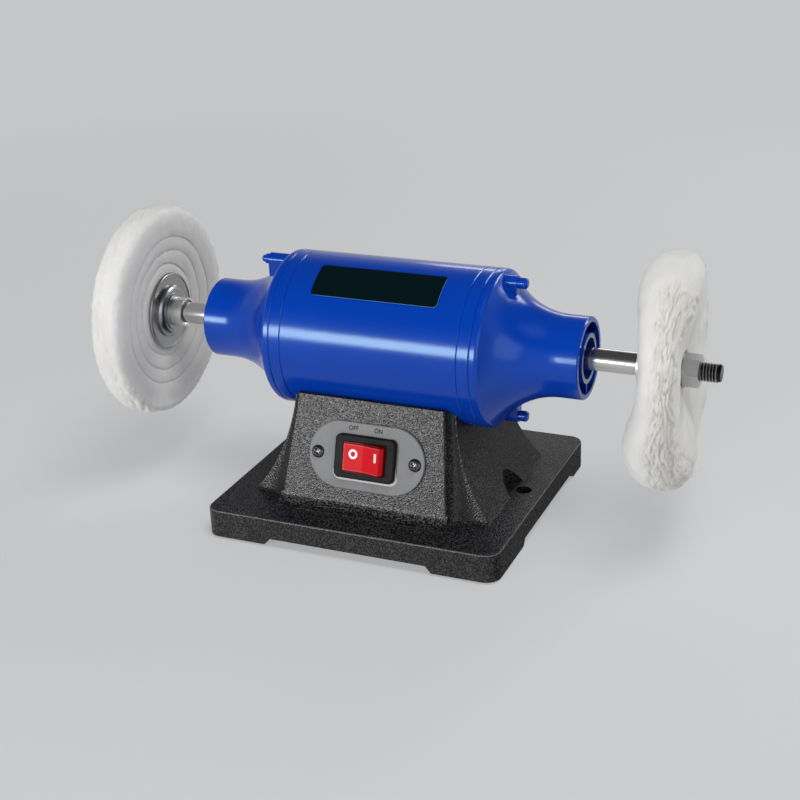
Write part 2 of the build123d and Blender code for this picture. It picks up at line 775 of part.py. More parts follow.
# End bells: each carries a bearing in a ribbed nose and two lugs for the tie bolts
web_start = web_end - web_thickness
hub_start = bearing_reach - hub_step
for side, way in sides:
    # Only the right bearing floats on a wave washer
    seat_end = bearing_end + (wave_washer_height if way > 0 else 0)
    with BuildPart() as end_bell:
        with BuildSketch(spindle_plane(way)):
            with BuildLine():
                Polyline(
                    (nose_start, nose_radius),
                    (nose_end - nose_edge, nose_radius),
                    (nose_end, nose_radius - nose_edge),
                    (nose_end, 0),
                    (housing_half, 0),
                    (housing_half, motor_radius - seam_chamfer),
                    (housing_half + seam_chamfer, motor_radius),
                    (groove_reach - groove_depth, motor_radius),
                    (groove_reach, motor_radius - groove_depth),
                    (groove_reach + groove_depth, motor_radius),
                    (rim_reach - rim_round, motor_radius),
                )
                ThreePointArc(
                    (rim_reach - rim_round, motor_radius),
                    (rim_reach, motor_radius - rim_crown),
                    (bell_start, bell_shoulder),
                )
                TangentArc((nose_start, nose_radius), (bell_start, bell_shoulder), tangent=(-1, 0))
            make_face()
        revolve(axis=spindle_axis)
        with BuildSketch(face_plane(way, rim_reach - rim_round)):
            with PolarLocations(tie_radius, 2, start_angle=90):
                Circle(lug_radius)
                with Locations((-lug_skirt / 2, 0)):
                    Rectangle(lug_skirt, 2 * lug_radius)
        extrude(amount=lug_reaches[side] - rim_reach + rim_round)
        # Inside of the bell, up to the web behind the nose
        with BuildSketch(spindle_plane(way)):
            with BuildLine():
                arc_middle = (bell_start + web_start) / 2
                Polyline(
                    (web_start, bell_radius(web_start, bell_wall)),
                    (web_start, hub_radius),
                    (hub_start, hub_radius),
                    (hub_start, 0),
                    (housing_half, 0),
                    (housing_half, motor_bore - spigot_wall),
                    (groove_reach, motor_bore - spigot_wall),
                    (bell_start, bell_radius(bell_start, bell_wall)),
                )
                ThreePointArc(
                    (bell_start, bell_radius(bell_start, bell_wall)),
                    (arc_middle, bell_radius(arc_middle, bell_wall)),
                    (web_start, bell_radius(web_start, bell_wall)),
                )
            make_face()
        revolve(axis=spindle_axis, mode=Mode.SUBTRACT)
        # Blind ring of the nose round the bearing hub, crossed by thin ribs
        revolve(
            turned(
                way,
                (web_end, hub_radius),
                (lip_start, hub_radius),
                (lip_start + hub_radius - lip_radius, lip_radius),
                (nose_end, lip_radius),
                (nose_end, nose_bore),
                (web_end, nose_bore),
            ),
            axis=spindle_axis,
            mode=Mode.SUBTRACT,
        )
        with BuildSketch(face_plane(way, web_end)):
            rib_inner = (lip_radius + lip_bore) / 2
            rib_outer = (nose_bore + nose_radius) / 2
            with PolarLocations((rib_inner + rib_outer) / 2, rib_count, start_angle=-90):
                Rectangle(rib_outer - rib_inner, rib_thickness)
        extrude(amount=nose_end - web_end - rib_setback)
        # Bearing seat from the inside, lip bore from the outside
        revolve(
            turned(
                way,
                (hub_start, 0),
                (nose_end, 0),
                (nose_end, lip_bore),
                (seat_end, lip_bore),
                (seat_end, bearing_radius),
                (hub_start, bearing_radius),
            ),
            axis=spindle_axis,
            mode=Mode.SUBTRACT,
        )
        # Spigot that centres the bell in the housing
        revolve(
            ring(
                way,
                housing_half - spigot_length,
                housing_half + seam_chamfer,
                motor_bore - spigot_wall,
                motor_bore - seat_gap,
            ),
            axis=spindle_axis,
        )
        with BuildSketch(face_plane(way, housing_half - spigot_length)):
            with PolarLocations(tie_radius, 2, start_angle=90):
                Circle(tie_bolt_radius + tie_hole_play)
        extrude(amount=lug_reaches[side] - housing_half + spigot_length, mode=Mode.SUBTRACT)
    end_bell.part.label = f"{side}_end_bell"
    export_step(end_bell.part, f"parts/{side}_end_bell.step")

# Tie bolts that draw the end bells together, headed on the right, nutted on the left
with BuildPart() as tie_bolts:
    with BuildSketch(face_plane(1, -lug_reaches["left"] - tie_head_height)):
        with PolarLocations(tie_radius, 2, start_angle=90):
            Circle(tie_bolt_radius)
    extrude(amount=lug_reaches["left"] + tie_head_height + lug_reaches["right"])
    with BuildSketch(face_plane(1, lug_reaches["right"])):
        with PolarLocations(tie_radius, 2, start_angle=90):
            Circle(tie_head_radius)
    extrude(amount=tie_head_height)
    fillet(tie_bolts.edges().group_by(Axis.X)[-1], tie_head_edge)
    fillet(tie_bolts.edges().group_by(Axis.X)[0], tie_end_round)
tie_bolts.part.label = "tie_bolts"
export_step(tie_bolts.part, "parts/tie_bolts.step")

with BuildPart() as tie_nuts:
    with BuildSketch(face_plane(-1, lug_reaches["left"])):
        with PolarLocations(tie_radius, 2, start_angle=90):
            Circle(tie_nut_radius)
            Circle(tie_bolt_radius + seat_gap, mode=Mode.SUBTRACT)
    extrude(amount=tie_nut_height)
    chamfer(tie_nuts.edges().group_by(Axis.X)[0].sort_by(SortBy.RADIUS)[-2:], tie_nut_edge)
tie_nuts.part.label = "tie_bolt_nuts"
export_step(tie_nuts.part, "parts/tie_bolt_nuts.step")

# Stator stack with its slots, notched over a tooth for each tie bolt
first_slot = 180 / slot_count
with BuildPart() as stator_core:
    with BuildSketch(face_plane(1, 0)):
        Circle(motor_bore - seat_gap)
        Circle(stator_bore, mode=Mode.SUBTRACT)
        with PolarLocations(stator_bore + slot_lip + slot_depth / 2, slot_count, start_angle=first_slot):
            Rectangle(slot_depth, slot_width, mode=Mode.SUBTRACT)
        with PolarLocations(stator_bore + slot_lip / 2, slot_count, start_angle=first_slot):
            Rectangle(2 * slot_lip, slot_mouth, mode=Mode.SUBTRACT)
        with PolarLocations(tie_radius, 2, start_angle=90):
            Circle(tie_bolt_radius + loose_gap, mode=Mode.SUBTRACT)
            with Locations((motor_bore - tie_radius, 0)):
                Rectangle(
                    2 * (motor_bore - tie_radius), 2 * tie_bolt_radius + 2 * loose_gap, mode=Mode.SUBTRACT
                )
    extrude(amount=stack_half, both=True)
stator_core.part.label = "stator_core"
export_step(stator_core.part, "parts/stator_core.step")

# Winding heads at both ends of the stack, and the rotor's end rings
for side, way in sides:
    with BuildPart() as winding_head:
        revolve(
            ring(way, stack_half, stack_half + winding_reach, winding_inner, winding_outer),
            axis=spindle_axis,
        )
        fillet(winding_head.edges().group_by(Axis.X)[-1 if way > 0 else 0], winding_edge)
    winding_head.part.label = f"{side}_winding_head"
    export_step(winding_head.part, f"parts/{side}_winding_head.step")

    with BuildPart() as rotor_ring:
        ring_outer = rotor_radius - rotor_ring_inset
        revolve(
            ring(
                way, stack_half, stack_half + rotor_ring_reach, ring_outer - rotor_ring_height, ring_outer
            ),
            axis=spindle_axis,
        )
    rotor_ring.part.label = f"{side}_rotor_ring"
    export_step(rotor_ring.part, f"parts/{side}_rotor_ring.step")

with BuildPart() as rotor_core:
    revolve(ring(1, -stack_half, stack_half, core_radius + seat_gap, rotor_radius), axis=spindle_axis)
rotor_core.part.label = "rotor_core"
export_step(rotor_core.part, "parts/rotor_core.step")

# Spindle: thick under the rotor, journals, then a threaded end on each side
with BuildPart() as spindle:
    for way in (-1, 1):
        revolve(
            turned(
                way,
                (0, 0),
                (0, core_radius),
                (bearing_reach, core_radius),
                (bearing_reach, journal_radius),
                (shoulder_reach, journal_radius),
                (shoulder_reach, thread_radius),
                (spindle_half - spindle_chamfer, thread_radius),
                (spindle_half, thread_radius - spindle_chamfer),
                (spindle_half, 0),
            ),
            axis=spindle_axis,
        )
spindle.part.label = "spindle"
export_step(spindle.part, "parts/spindle.step")

# Ball bearings
race_inner = race_path - race_half_gap
race_outer = race_path + race_half_gap
for side, way in sides:
    with BuildPart() as outer_ring:
        revolve(
            ring(way, bearing_reach, bearing_end, race_outer, bearing_radius - seat_gap), axis=spindle_axis
        )
        with BuildSketch(spindle_plane(way)):
            with Locations((bearing_mid, race_path)):
                Circle(ball_radius + ball_play)
        revolve(axis=spindle_axis, mode=Mode.SUBTRACT)
    outer_ring.part.label = f"{side}_bearing_outer_ring"
    export_step(outer_ring.part, f"parts/{side}_bearing_outer_ring.step")

    with BuildPart() as inner_ring:
        revolve(
            ring(way, bearing_reach, bearing_end, journal_radius + seat_gap, race_inner), axis=spindle_axis
        )
        with BuildSketch(spindle_plane(way)):
            with Locations((bearing_mid, race_path)):
                Circle(ball_radius + ball_play)
        revolve(axis=spindle_axis, mode=Mode.SUBTRACT)
    inner_ring.part.label = f"{side}_bearing_inner_ring"
    export_step(inner_ring.part, f"parts/{side}_bearing_inner_ring.step")

    with BuildPart(face_plane(way, bearing_mid)) as balls:
        with PolarLocations(race_path, ball_count):
            Sphere(ball_radius)
    balls.part.label = f"{side}_bearing_balls"
    export_step(balls.part, f"parts/{side}_bearing_balls.step")

    with BuildPart(face_plane(way, bearing_mid)) as ball_cage:
        revolve(
            ring(
                way,
                bearing_mid - cage_half_width,
                bearing_mid + cage_half_width,
                race_path - cage_half_height,
                race_path + cage_half_height,
            ),
            axis=spindle_axis,
        )
        with PolarLocations(race_path, ball_count):
            Cylinder(
                ball_radius + ball_play, 2 * race_half_gap, rotation=(0, 90, 0), mode=Mode.SUBTRACT
            )
    ball_cage.part.label = f"{side}_bearing_cage"
    export_step(ball_cage.part, f"parts/{side}_bearing_cage.step")

    with BuildPart() as seals:
        for start in (bearing_reach, bearing_end - seal_thickness):
            revolve(
                ring(
                    way, start, start + seal_thickness, race_inner + loose_gap, race_outer - seat_gap
                ),
                axis=spindle_axis,
            )
    seals.part.label = f"{side}_bearing_seals"
    export_step(seals.part, f"parts/{side}_bearing_seals.step")

with BuildPart() as wave_washer:
    revolve(
        ring(
            1,
            bearing_end,
            bearing_end + wave_washer_height,
            bearing_radius - loose_gap - wave_washer_width,
            bearing_radius - loose_gap,
        ),
        axis=spindle_axis,
    )
wave_washer.part.label = "wave_washer"
export_step(wave_washer.part, "parts/wave_washer.step")

# Sleeve, inner flange, outer washer and nut on each end of the spindle
for side, way in sides:
    sleeve_reach = sleeve_reaches[side]
    with BuildPart() as sleeve:
        revolve(
            turned(
                way,
                (sleeve_reach, sleeve_counterbore),
                (sleeve_reach + sleeve_counterbore_depth, sleeve_counterbore),
                (sleeve_reach + sleeve_counterbore_depth, journal_radius + seat_gap),
                (neck_start, journal_radius + seat_gap),
                (neck_start, sleeve_radius),
                (sleeve_reach, sleeve_radius),
            ),
            axis=spindle_axis,
        )
    sleeve.part.label = f"{side}_sleeve"
    export_step(sleeve.part, f"parts/{side}_sleeve.step")

    rim_back = flange_face - flange_rim
    with BuildPart() as flange:
        with BuildSketch(spindle_plane(way)):
            with BuildLine():
                Polyline(
                    (neck_start + neck_step, neck_radius),
                    (neck_start, neck_radius),
                    (neck_start, journal_radius + seat_gap),
                    (shoulder_reach, journal_radius + seat_gap),
                    (shoulder_reach, thread_radius + seat_gap),
                    (flange_face, thread_radius + seat_gap),
                    (flange_face, flange_radius - flange_bead),
                )
                ThreePointArc(
                    (flange_face, flange_radius - flange_bead),
                    (flange_face - flange_rim / 2, flange_radius),
                    (rim_back, flange_radius - flange_bead),
                )
                Polyline(
                    (rim_back, flange_radius - flange_bead),
                    (rim_back + flange_bead / 2, flange_radius - 2 * flange_bead),
                    (rim_back + flange_bead / 2, boss_radius),
                    (rim_back + flange_bead / 2 - boss_step, boss_radius),
                )
                dome_start = (rim_back + flange_bead / 2 - boss_step, boss_radius)
                dome_end = (neck_start + neck_step, neck_radius)
                dome_middle = (
                    dome_start[0] + (dome_end[0] - dome_start[0]) * dome_share,
                    dome_end[1] + (dome_start[1] - dome_end[1]) * dome_share,
                )
                ThreePointArc(dome_start, dome_middle, dome_end)
            make_face()
        revolve(axis=spindle_axis)
    flange.part.label = f"{side}_flange"
    export_step(flange.part, f"parts/{side}_flange.step")

    with BuildPart() as washer:
        revolve(
            ring(way, washer_start, nut_start, thread_radius + seat_gap, washer_radius), axis=spindle_axis
        )
    washer.part.label = f"{side}_washer"
    export_step(washer.part, f"parts/{side}_washer.step")

    with BuildPart() as nut:
        with BuildSketch(face_plane(way, nut_start)):
            RegularPolygon(nut_flats / 2, 6, major_radius=False)
            Circle(thread_radius + seat_gap, mode=Mode.SUBTRACT)
        extrude(amount=nut_height)
        corner_radius = nut_flats / 2 / cos(radians(30))
        nut_chamfer = (corner_radius - nut_flats / 2) * sin(radians(nut_chamfer_angle))
        revolve(
            turned(
                way,
                (nut_start, 0),
                (nut_start, nut_flats / 2),
                (nut_start + nut_chamfer, corner_radius),
                (nut_end - nut_chamfer, corner_radius),
                (nut_end, nut_flats / 2),
                (nut_end, 0),
            ),
            axis=spindle_axis,
            mode=Mode.INTERSECT,
        )
    nut.part.label = f"{side}_nut"
    export_step(nut.part, f"parts/{side}_nut.step")

# Left buff: its sides bulge between the rings of sewing, and its rim is round
with BuildPart() as left_buff:
    buff_middle = flange_face + buff_hub / 2
    buff_half = sewn_buff_thickness / 2
    hub_half = buff_hub / 2
    rim_foot = sewn_buff_radius - sewn_rim_round
    stations = (sewn_land, *sewn_rings, rim_foot)
    with BuildSketch(spindle_plane(-1)):
        with BuildLine():
            bore = thread_radius + buff_bore_play
            Line((buff_middle - hub_half, bore), (buff_middle + hub_half, bore))
            for hand in (-1, 1):
                Line((buff_middle + hand * hub_half, bore), (buff_middle + hand * hub_half, sewn_land))
                for low, high in zip(stations, stations[1:]):
                    low_half = hub_half if low == sewn_land else buff_half - sewn_channel
                    ThreePointArc(
                        (buff_middle + hand * low_half, low),
                        (buff_middle + hand * buff_half, (low + high) / 2),
                        (buff_middle + hand * (buff_half - sewn_channel), high),
                    )
                ThreePointArc(
                    (buff_middle + hand * (buff_half - sewn_channel), rim_foot),
                    (
                        buff_middle + hand * (buff_half - sewn_channel) * cos(radians(45)),
                        rim_foot + sewn_rim_round * sin(radians(45)),
                    ),
                    (buff_middle, sewn_buff_radius),
                )
        make_face()
    revolve(axis=spindle_axis)
left_buff.part.label = "left_buff"
export_step(left_buff.part, "parts/left_buff.step")


# Section of the right buff in the half plane at an angle from the back, turning upwards
def loose_buff_section(angle):
    turn = radians(angle)
    across = Plane(
        origin=(0, 0, spindle_height), x_dir=(1, 0, 0), z_dir=(0, -sin(turn), cos(turn))
    )
    middle = flange_face + buff_hub / 2 + loose_buff_set - loose_buff_swing * cos(turn)
    half = loose_buff_half + loose_buff_half_swell * cos(turn - radians(loose_buff_swell_angle))
    shoulder = loose_buff_radius - half
    bore = thread_radius + buff_bore_play
    hub_end = flange_face + buff_hub
    inner_land = (flange_face, flange_radius + loose_buff_land_gap)
    outer_land = (hub_end, washer_radius + loose_gap)
    inner_rim = (middle - half, shoulder)
    outer_rim = (middle + half, shoulder)
    inner_belly = ((inner_land[0] + inner_rim[0]) / 2 - loose_buff_belly, (inner_land[1] + shoulder) / 2)
    outer_belly = ((outer_land[0] + outer_rim[0]) / 2 + loose_buff_belly, (outer_land[1] + shoulder) / 2)
    with BuildSketch(across) as section:
        with BuildLine():
            Polyline(outer_land, (hub_end, bore), (flange_face, bore), inner_land)
            ThreePointArc(inner_land, inner_belly, inner_rim)
            quarter_arc(inner_rim, (middle, shoulder), (middle, loose_buff_radius))
            quarter_arc((middle, loose_buff_radius), (middle, shoulder), outer_rim)
            ThreePointArc(outer_rim, outer_belly, outer_land)
        make_face()
    return section.sketch


with BuildPart() as right_buff:
    half_count = loose_buff_sectors // 2
    for first in (0, half_count):
        angles = [360 * (first + step) / loose_buff_sectors for step in range(half_count + 1)]
        loft([loose_buff_section(angle) for angle in angles])
right_buff.part.label = "right_buff"
export_step(right_buff.part, "parts/right_buff.step")

# Run capacitor lying on the cover, with its clip
with BuildPart() as capacitor:
    with BuildSketch(Plane.YZ):
        with Locations((capacitor_place, cover_top + capacitor_radius)):
            Circle(capacitor_radius)
    extrude(amount=capacitor_length / 2, both=True)
    fillet(capacitor.edges().filter_by(GeomType.CIRCLE), capacitor_edge)
capacitor.part.label = "run_capacitor"
export_step(capacitor.part, "parts/run_capacitor.step")

with BuildPart() as capacitor_clip:
    clip_inner = capacitor_radius + loose_gap
    clip_outer = clip_inner + clip_thickness
    clip_centre = cover_top + capacitor_radius
    with BuildSketch(Plane.YZ):
        with Locations((capacitor_place, clip_centre)):
            Circle(clip_outer)
        with Locations((capacitor_place, (cover_top + clip_centre) / 2)):
            Rectangle(2 * clip_outer, capacitor_radius)
        with Locations((capacitor_place, cover_top + clip_thickness / 2)):
            Rectangle(2 * (clip_outer + clip_foot), clip_thickness)
        with Locations((capacitor_place, clip_centre)):
            Circle(clip_inner, mode=Mode.SUBTRACT)
        with Locations((capacitor_place, (cover_top + clip_centre) / 2)):
            Rectangle(2 * clip_inner, capacitor_radius, mode=Mode.SUBTRACT)
        with Locations((capacitor_place, cover_top - capacitor_radius)):
            Rectangle(4 * clip_outer, 2 * capacitor_radius, mode=Mode.SUBTRACT)
    extrude(amount=clip_width / 2, both=True)
capacitor_clip.part.label = "capacitor_clip"
export_step(capacitor_clip.part, "parts/capacitor_clip.step")

# Terminal block on the cover
with BuildPart() as terminal_block:
    with BuildSketch(Plane.XY.offset(cover_top)):
        with Locations((0, block_place)):
            Rectangle(block_length, block_width)
    extrude(amount=block_height)
    with BuildSketch(Plane.XY.offset(cover_top + block_height)):
        with Locations((0, block_place)):
            with GridLocations(block_length / block_ways, block_width / 2, block_ways, 2):
                Circle(block_screw_radius)
    extrude(amount=-block_screw_depth, mode=Mode.SUBTRACT)
terminal_block.part.label = "terminal_block"
export_step(terminal_block.part, "parts/terminal_block.step")

# Studs that hold the motor down in the saddle, with their nuts
with BuildPart() as motor_studs:
    with BuildSketch(Plane.XY.offset(stud_seat - stud_nut_height - stud_tail)):
        with Locations(*stud_places):
            Circle(stud_radius)
    extrude(amount=spindle_height - motor_radius + stud_bite - stud_seat + stud_nut_height + stud_tail)
motor_studs.part.label = "motor_studs"
export_step(motor_studs.part, "parts/motor_studs.step")

with BuildPart() as stud_nuts:
    with BuildSketch(Plane.XY.offset(stud_seat - stud_nut_height)):
        with Locations(*stud_places):
            RegularPolygon(stud_nut_flats / 2, 6, major_radius=False)
            Circle(stud_radius + seat_gap, mode=Mode.SUBTRACT)
    extrude(amount=stud_nut_height)
stud_nuts.part.label = "motor_stud_nuts"
export_step(stud_nuts.part, "parts/motor_stud_nuts.step")

# Rubber grommet through saddle and housing, and the motor lead in it
grommet_top = sqrt(motor_bore**2 - grommet_radius**2)
grommet_seat = saddle_radius + wall
with BuildPart() as grommet:
    with BuildSketch(grommet_plane(grommet_seat)):
        Circle(grommet_flange)
    extrude(amount=grommet_flange_height)
    with BuildSketch(grommet_plane(grommet_top)):
        Circle(grommet_radius)
    extrude(amount=grommet_seat - grommet_top)
    with BuildSketch(grommet_plane(grommet_top)):
        Circle(grommet_bore)
    extrude(amount=grommet_seat + grommet_flange_height - grommet_top, mode=Mode.SUBTRACT)
grommet.part.label = "lead_grommet"
export_step(grommet.part, "parts/lead_grommet.step")

lead_level = cover_top + block_height / 2
with BuildPart() as motor_lead:
    with BuildLine() as lead_path:
        FilletPolyline(
            grommet_plane(winding_outer + loose_gap).origin,
            grommet_plane(grommet_seat + grommet_flange_height + lead_drop).origin,
            (grommet_place, block_place, lead_level),
            (block_length / 2, block_place, lead_level),
            radius=lead_bend,
        )
    with BuildSketch(Plane(lead_path.line @ 0, z_dir=lead_path.line % 0)):
        Circle(lead_radius)
    sweep()
motor_lead.part.label = "motor_lead"
export_step(motor_lead.part, "parts/motor_lead.step")

# Lead from the back of the switch to the terminal block
switch_exit = switch_back.origin
fall = switch_back.z_dir
lead_turn = switch_exit - fall * ((switch_exit.Y - block_place) / fall.Y)
with BuildPart() as switch_lead:
    with BuildLine() as switch_path:
        FilletPolyline(
            switch_exit,
            lead_turn,
            (switch_exit.X, block_place, cover_top + block_height),
            radius=switch_lead_bend,
        )
    with BuildSketch(Plane(switch_path.line @ 0, z_dir=switch_path.line % 0)):
        Circle(switch_lead_radius)
    sweep()
switch_lead.part.label = "switch_lead"
export_step(switch_lead.part, "parts/switch_lead.step")

# Cable gland through the back slab, with a cap that fits round a cord and a wider throat,
# and its locknut inside
gland_inside = gland_plane.offset(-wall)
with BuildPart() as gland:
    with BuildSketch(gland_plane):
        RegularPolygon(gland_flats / 2, 6, major_radius=False)
    extrude(amount=gland_collar)
    with BuildSketch(gland_plane.offset(gland_collar)):
        Circle(gland_cap_radius)
    extrude(amount=gland_cap)
    fillet(gland.faces().sort_by(Axis(gland_plane.origin, gland_plane.z_dir))[-1].edges(), gland_edge)
    with BuildSketch(gland_plane):
        Circle(gland_thread)
    extrude(amount=-wall - gland_tail)
    with BuildSketch(gland_plane.offset(gland_collar + gland_cap)):
        Circle(gland_bore)
    extrude(amount=-gland_cap, mode=Mode.SUBTRACT)
    with BuildSketch(gland_plane.offset(gland_collar)):
        Circle(gland_throat)
    extrude(amount=-gland_collar - wall - gland_tail, mode=Mode.SUBTRACT)
gland.part.label = "cable_gland"
export_step(gland.part, "parts/cable_gland.step")

with BuildPart() as locknut:
    with BuildSketch(gland_inside):
        RegularPolygon(gland_flats / 2, 6, major_radius=False)
        Circle(gland_thread + seat_gap, mode=Mode.SUBTRACT)
    extrude(amount=-locknut_height)
locknut.part.label = "gland_locknut"
export_step(locknut.part, "parts/gland_locknut.step")
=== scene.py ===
import bpy
import bmesh
import json
import random
from math import atan2, copysign, cos, exp, pi, radians, sin, sqrt, tau
from mathutils import Matrix, Vector, noise
from mathutils.bvhtree import BVHTree


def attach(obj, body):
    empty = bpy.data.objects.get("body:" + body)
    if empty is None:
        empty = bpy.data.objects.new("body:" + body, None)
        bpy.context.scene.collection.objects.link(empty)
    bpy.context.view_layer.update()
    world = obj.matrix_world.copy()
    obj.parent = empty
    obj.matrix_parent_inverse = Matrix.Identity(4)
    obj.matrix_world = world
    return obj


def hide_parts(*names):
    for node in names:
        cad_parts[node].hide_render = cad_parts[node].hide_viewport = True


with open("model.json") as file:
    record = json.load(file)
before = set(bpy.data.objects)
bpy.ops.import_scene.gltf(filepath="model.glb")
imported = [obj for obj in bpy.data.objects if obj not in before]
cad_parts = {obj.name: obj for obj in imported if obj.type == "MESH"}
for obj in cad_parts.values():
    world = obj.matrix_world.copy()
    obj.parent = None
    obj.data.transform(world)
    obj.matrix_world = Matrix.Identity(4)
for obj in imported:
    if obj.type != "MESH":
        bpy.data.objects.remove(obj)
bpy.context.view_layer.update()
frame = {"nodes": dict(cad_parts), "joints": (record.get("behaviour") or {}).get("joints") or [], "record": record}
scene = bpy.context.scene
nodes = frame["nodes"]
joints = {joint["name"]: joint for joint in frame["joints"]}
mm = 0.001
acrossX = Vector((1, 0, 0))
axisZ = joints["spindle_spin"]["pos_m"][2]
print("frame loaded:", len(nodes), "nodes")


class Wire:  # a shader value that can stand in a sum
    def __init__(self, tree, socket):
        self.tree = tree
        self.socket = socket

    def math(self, operation, first, second):
        node = self.tree.nodes.new("ShaderNodeMath")
        node.operation = operation
        for target, value in zip(node.inputs, (first, second)):
            plug(self.tree, target, value)
        return Wire(self.tree, node.outputs[0])

    def __add__(self, other):
        return self.math("ADD", self, other)

    __radd__ = __add__

    def __sub__(self, other):
        return self.math("SUBTRACT", self, other)

    def __rsub__(self, other):
        return self.math("SUBTRACT", other, self)

    def __mul__(self, other):
        return self.math("MULTIPLY", self, other)

    def __truediv__(self, other):
        return self.math("DIVIDE", self, other)

    def __pow__(self, other):
        return self.math("POWER", self, other)


def plug(tree, target, value):
    if isinstance(value, Wire):
        tree.links.new(value.socket, target)
    else:
        target.default_value = value


class Finish:  # one material and its nodes
    def __init__(self, name, **fixed):
        self.material = bpy.data.materials.new(name)
        self.material.use_nodes = True
        self.tree = self.material.node_tree
        self.shader = self.tree.nodes["Principled BSDF"]
        self.feed(**fixed)

    def node(self, kind, settings=None, inputs=None, output=0):
        made = self.tree.nodes.new("ShaderNode" + kind)
        for name, value in (settings or {}).items():
            setattr(made, name, value)
        for name, value in (inputs or {}).items():
            plug(self.tree, made.inputs[name], value)
        return Wire(self.tree, made.outputs[output])

    def feed(self, **values):
        for socket, value in values.items():
            plug(self.tree, self.shader.inputs[socket.replace("_", " ")], value)

    def place(self):
        return self.node("TexCoord", output="Object")

    def parts(self, vector):
        return [self.node("SeparateXYZ", inputs={"Vector": vector}, output=axis) for axis in "XYZ"]

    def joined(self, x, y, z):
        return self.node("CombineXYZ", inputs={"X": x, "Y": y, "Z": z})

    def grain(self, scale, detail=2.0, rough=0.5, at=None):
        inputs = {"Vector": at or self.place(), "Scale": scale, "Detail": detail, "Roughness": rough}
        return self.node("TexNoise", inputs=inputs)

    def cells(self, scale):
        return self.node("TexVoronoi", inputs={"Vector": self.place(), "Scale": scale}, output="Distance")

    def stretched(self, scale):
        return self.node("Mapping", inputs={"Vector": self.place(), "Scale": scale})

    def level(self, value, low, high, start=0.0, end=1.0):
        inputs = {"Value": value, "From Min": low, "From Max": high, "To Min": start, "To Max": end}
        return self.node("MapRange", inputs=inputs)

    def blend(self, share, first, second):
        return self.node("Mix", {"data_type": "RGBA"}, {0: share, 6: first, 7: second}, 2)

    def attribute(self, name):
        return self.node("Attribute", {"attribute_name": name}, output="Fac")

    def bump(self, height, strength, distance):
        return self.node("Bump", inputs={"Height": height, "Strength": strength, "Distance": distance})

    def normal(self):
        return self.parts(self.node("NewGeometry", output="Normal"))

    # a share of the second shader over the first
    def cover(self, share, first, second):
        mixed = self.node("MixShader", inputs={0: share, 1: first, 2: second})
        plug(self.tree, self.tree.nodes["Material Output"].inputs["Surface"], mixed)

    def ownShader(self):
        return Wire(self.tree, self.shader.outputs[0])


def rgb(red, green, blue):
    return (red, green, blue, 1.0)


# place by the spindle: reach along it, depth, rise over it, and radius from it
def bySpindle(finish):
    x, y, z = finish.parts(finish.place())
    rise = z - axisZ
    return x, y, rise, (y * y + rise * rise) ** 0.5


# turned metal: fine rings that follow reach and radius, the same all round
def turnedGrain(finish, scale):
    reach, depth, rise, radius = bySpindle(finish)
    return finish.grain(1.0, 3.0, 0.6, finish.joined(reach * scale, radius * scale, 0.0))


def castBlackFinish():
    look = {
        "dark": rgb(0.0032, 0.0032, 0.0035), "pale": rgb(0.017, 0.017, 0.018),
        "glintSpeck": rgb(0.060, 0.060, 0.061), "toe": rgb(0.11, 0.11, 0.11), "edge": rgb(0.12, 0.12, 0.125),
        "grain": 800.0, "sheen": 0.38, "smooth": (0.36, 0.22), "highlightShare": 0.8, "matt": 0.75, "glint": 0.05,
        # heights and reaches between which a zone fades in or out
        "plate": (21.3 * mm, 21.1 * mm), "edgeFoot": (19.4 * mm, 19.8 * mm), "skirtFoot": (21.2 * mm, 22.0 * mm),
        "skirtTop": (28.2 * mm, 26.0 * mm), "skirtSide": (62.0 * mm, 61.0 * mm),
        # shares of the normal between which a face counts as a slab, a skirt, a rounded edge or level
        "slabTilt": (0.55, 0.85), "skirtTilt": (0.35, 0.6), "edgeStart": (0.20, 0.45), "edgeEnd": (0.97, 0.80),
        "levelTilt": (0.1, 0.45), "levelShare": (0.1, 0.45),
    }
    paint = Finish("castBlack", Specular_IOR_Level=look["sheen"])
    lumps = paint.grain(look["grain"], 1.0, 0.5)
    pits = paint.cells(look["grain"] * 1.1)
    worn = paint.grain(30.0, 3.0, 0.6)
    tone = paint.level(lumps, 0.46, 0.62) * paint.level(worn, 0.25, 0.75, 0.5, 1.0)
    x, y, z = paint.parts(paint.place())
    across, along, up = paint.normal()
    facing, reach = (along * along) ** 0.5, (x * x) ** 0.5
    slab = paint.level(facing, *look["slabTilt"])
    # painted glints: the plate and the wings take a paler speckle than the slabs, and the hollow skirts at the
    # slabs' feet a painted sheen
    plate = paint.level(z, *look["plate"])
    # painted sheen: the skirts are a paler grey where they curve out from the slabs
    skirt = paint.level(z, *look["skirtFoot"]) * paint.level(z, *look["skirtTop"])
    skirt = skirt * paint.level(facing, *look["skirtTilt"]) * paint.level(reach, *look["skirtSide"])
    grainAndGlint = paint.blend(plate + (1 - slab) * (1 - plate), look["pale"], look["glintSpeck"])
    plain = paint.blend(tone, look["dark"], paint.blend(skirt, grainAndGlint, look["toe"]))
    # painted highlight: a pale line along the rounded upper edge of the plate
    edgeHighlight = paint.level(up, *look["edgeStart"]) * paint.level(up, *look["edgeEnd"])
    edgeHighlight = edgeHighlight * paint.level(z, *look["edgeFoot"]) * plate
    tint = paint.blend(edgeHighlight * look["highlightShare"], plain, look["edge"])
    relief = paint.bump(lumps * 0.8 - pits * 0.5, 0.9, 0.00030)
    paint.feed(Base_Color=tint, Roughness=paint.level(lumps, 0.3, 0.7, *look["smooth"]), Normal=relief)
    # the slabs carry a sheen, the plate and the wings less of it, and the upright sides are matt
    dull = {"Base Color": tint, "Roughness": look["matt"], "Normal": relief, "Specular IOR Level": look["glint"]}
    level = paint.level(up, *look["levelTilt"], *look["levelShare"])
    paint.cover(slab + level * (1 - slab), paint.node("BsdfPrincipled", inputs=dull), paint.ownShader())
    return paint


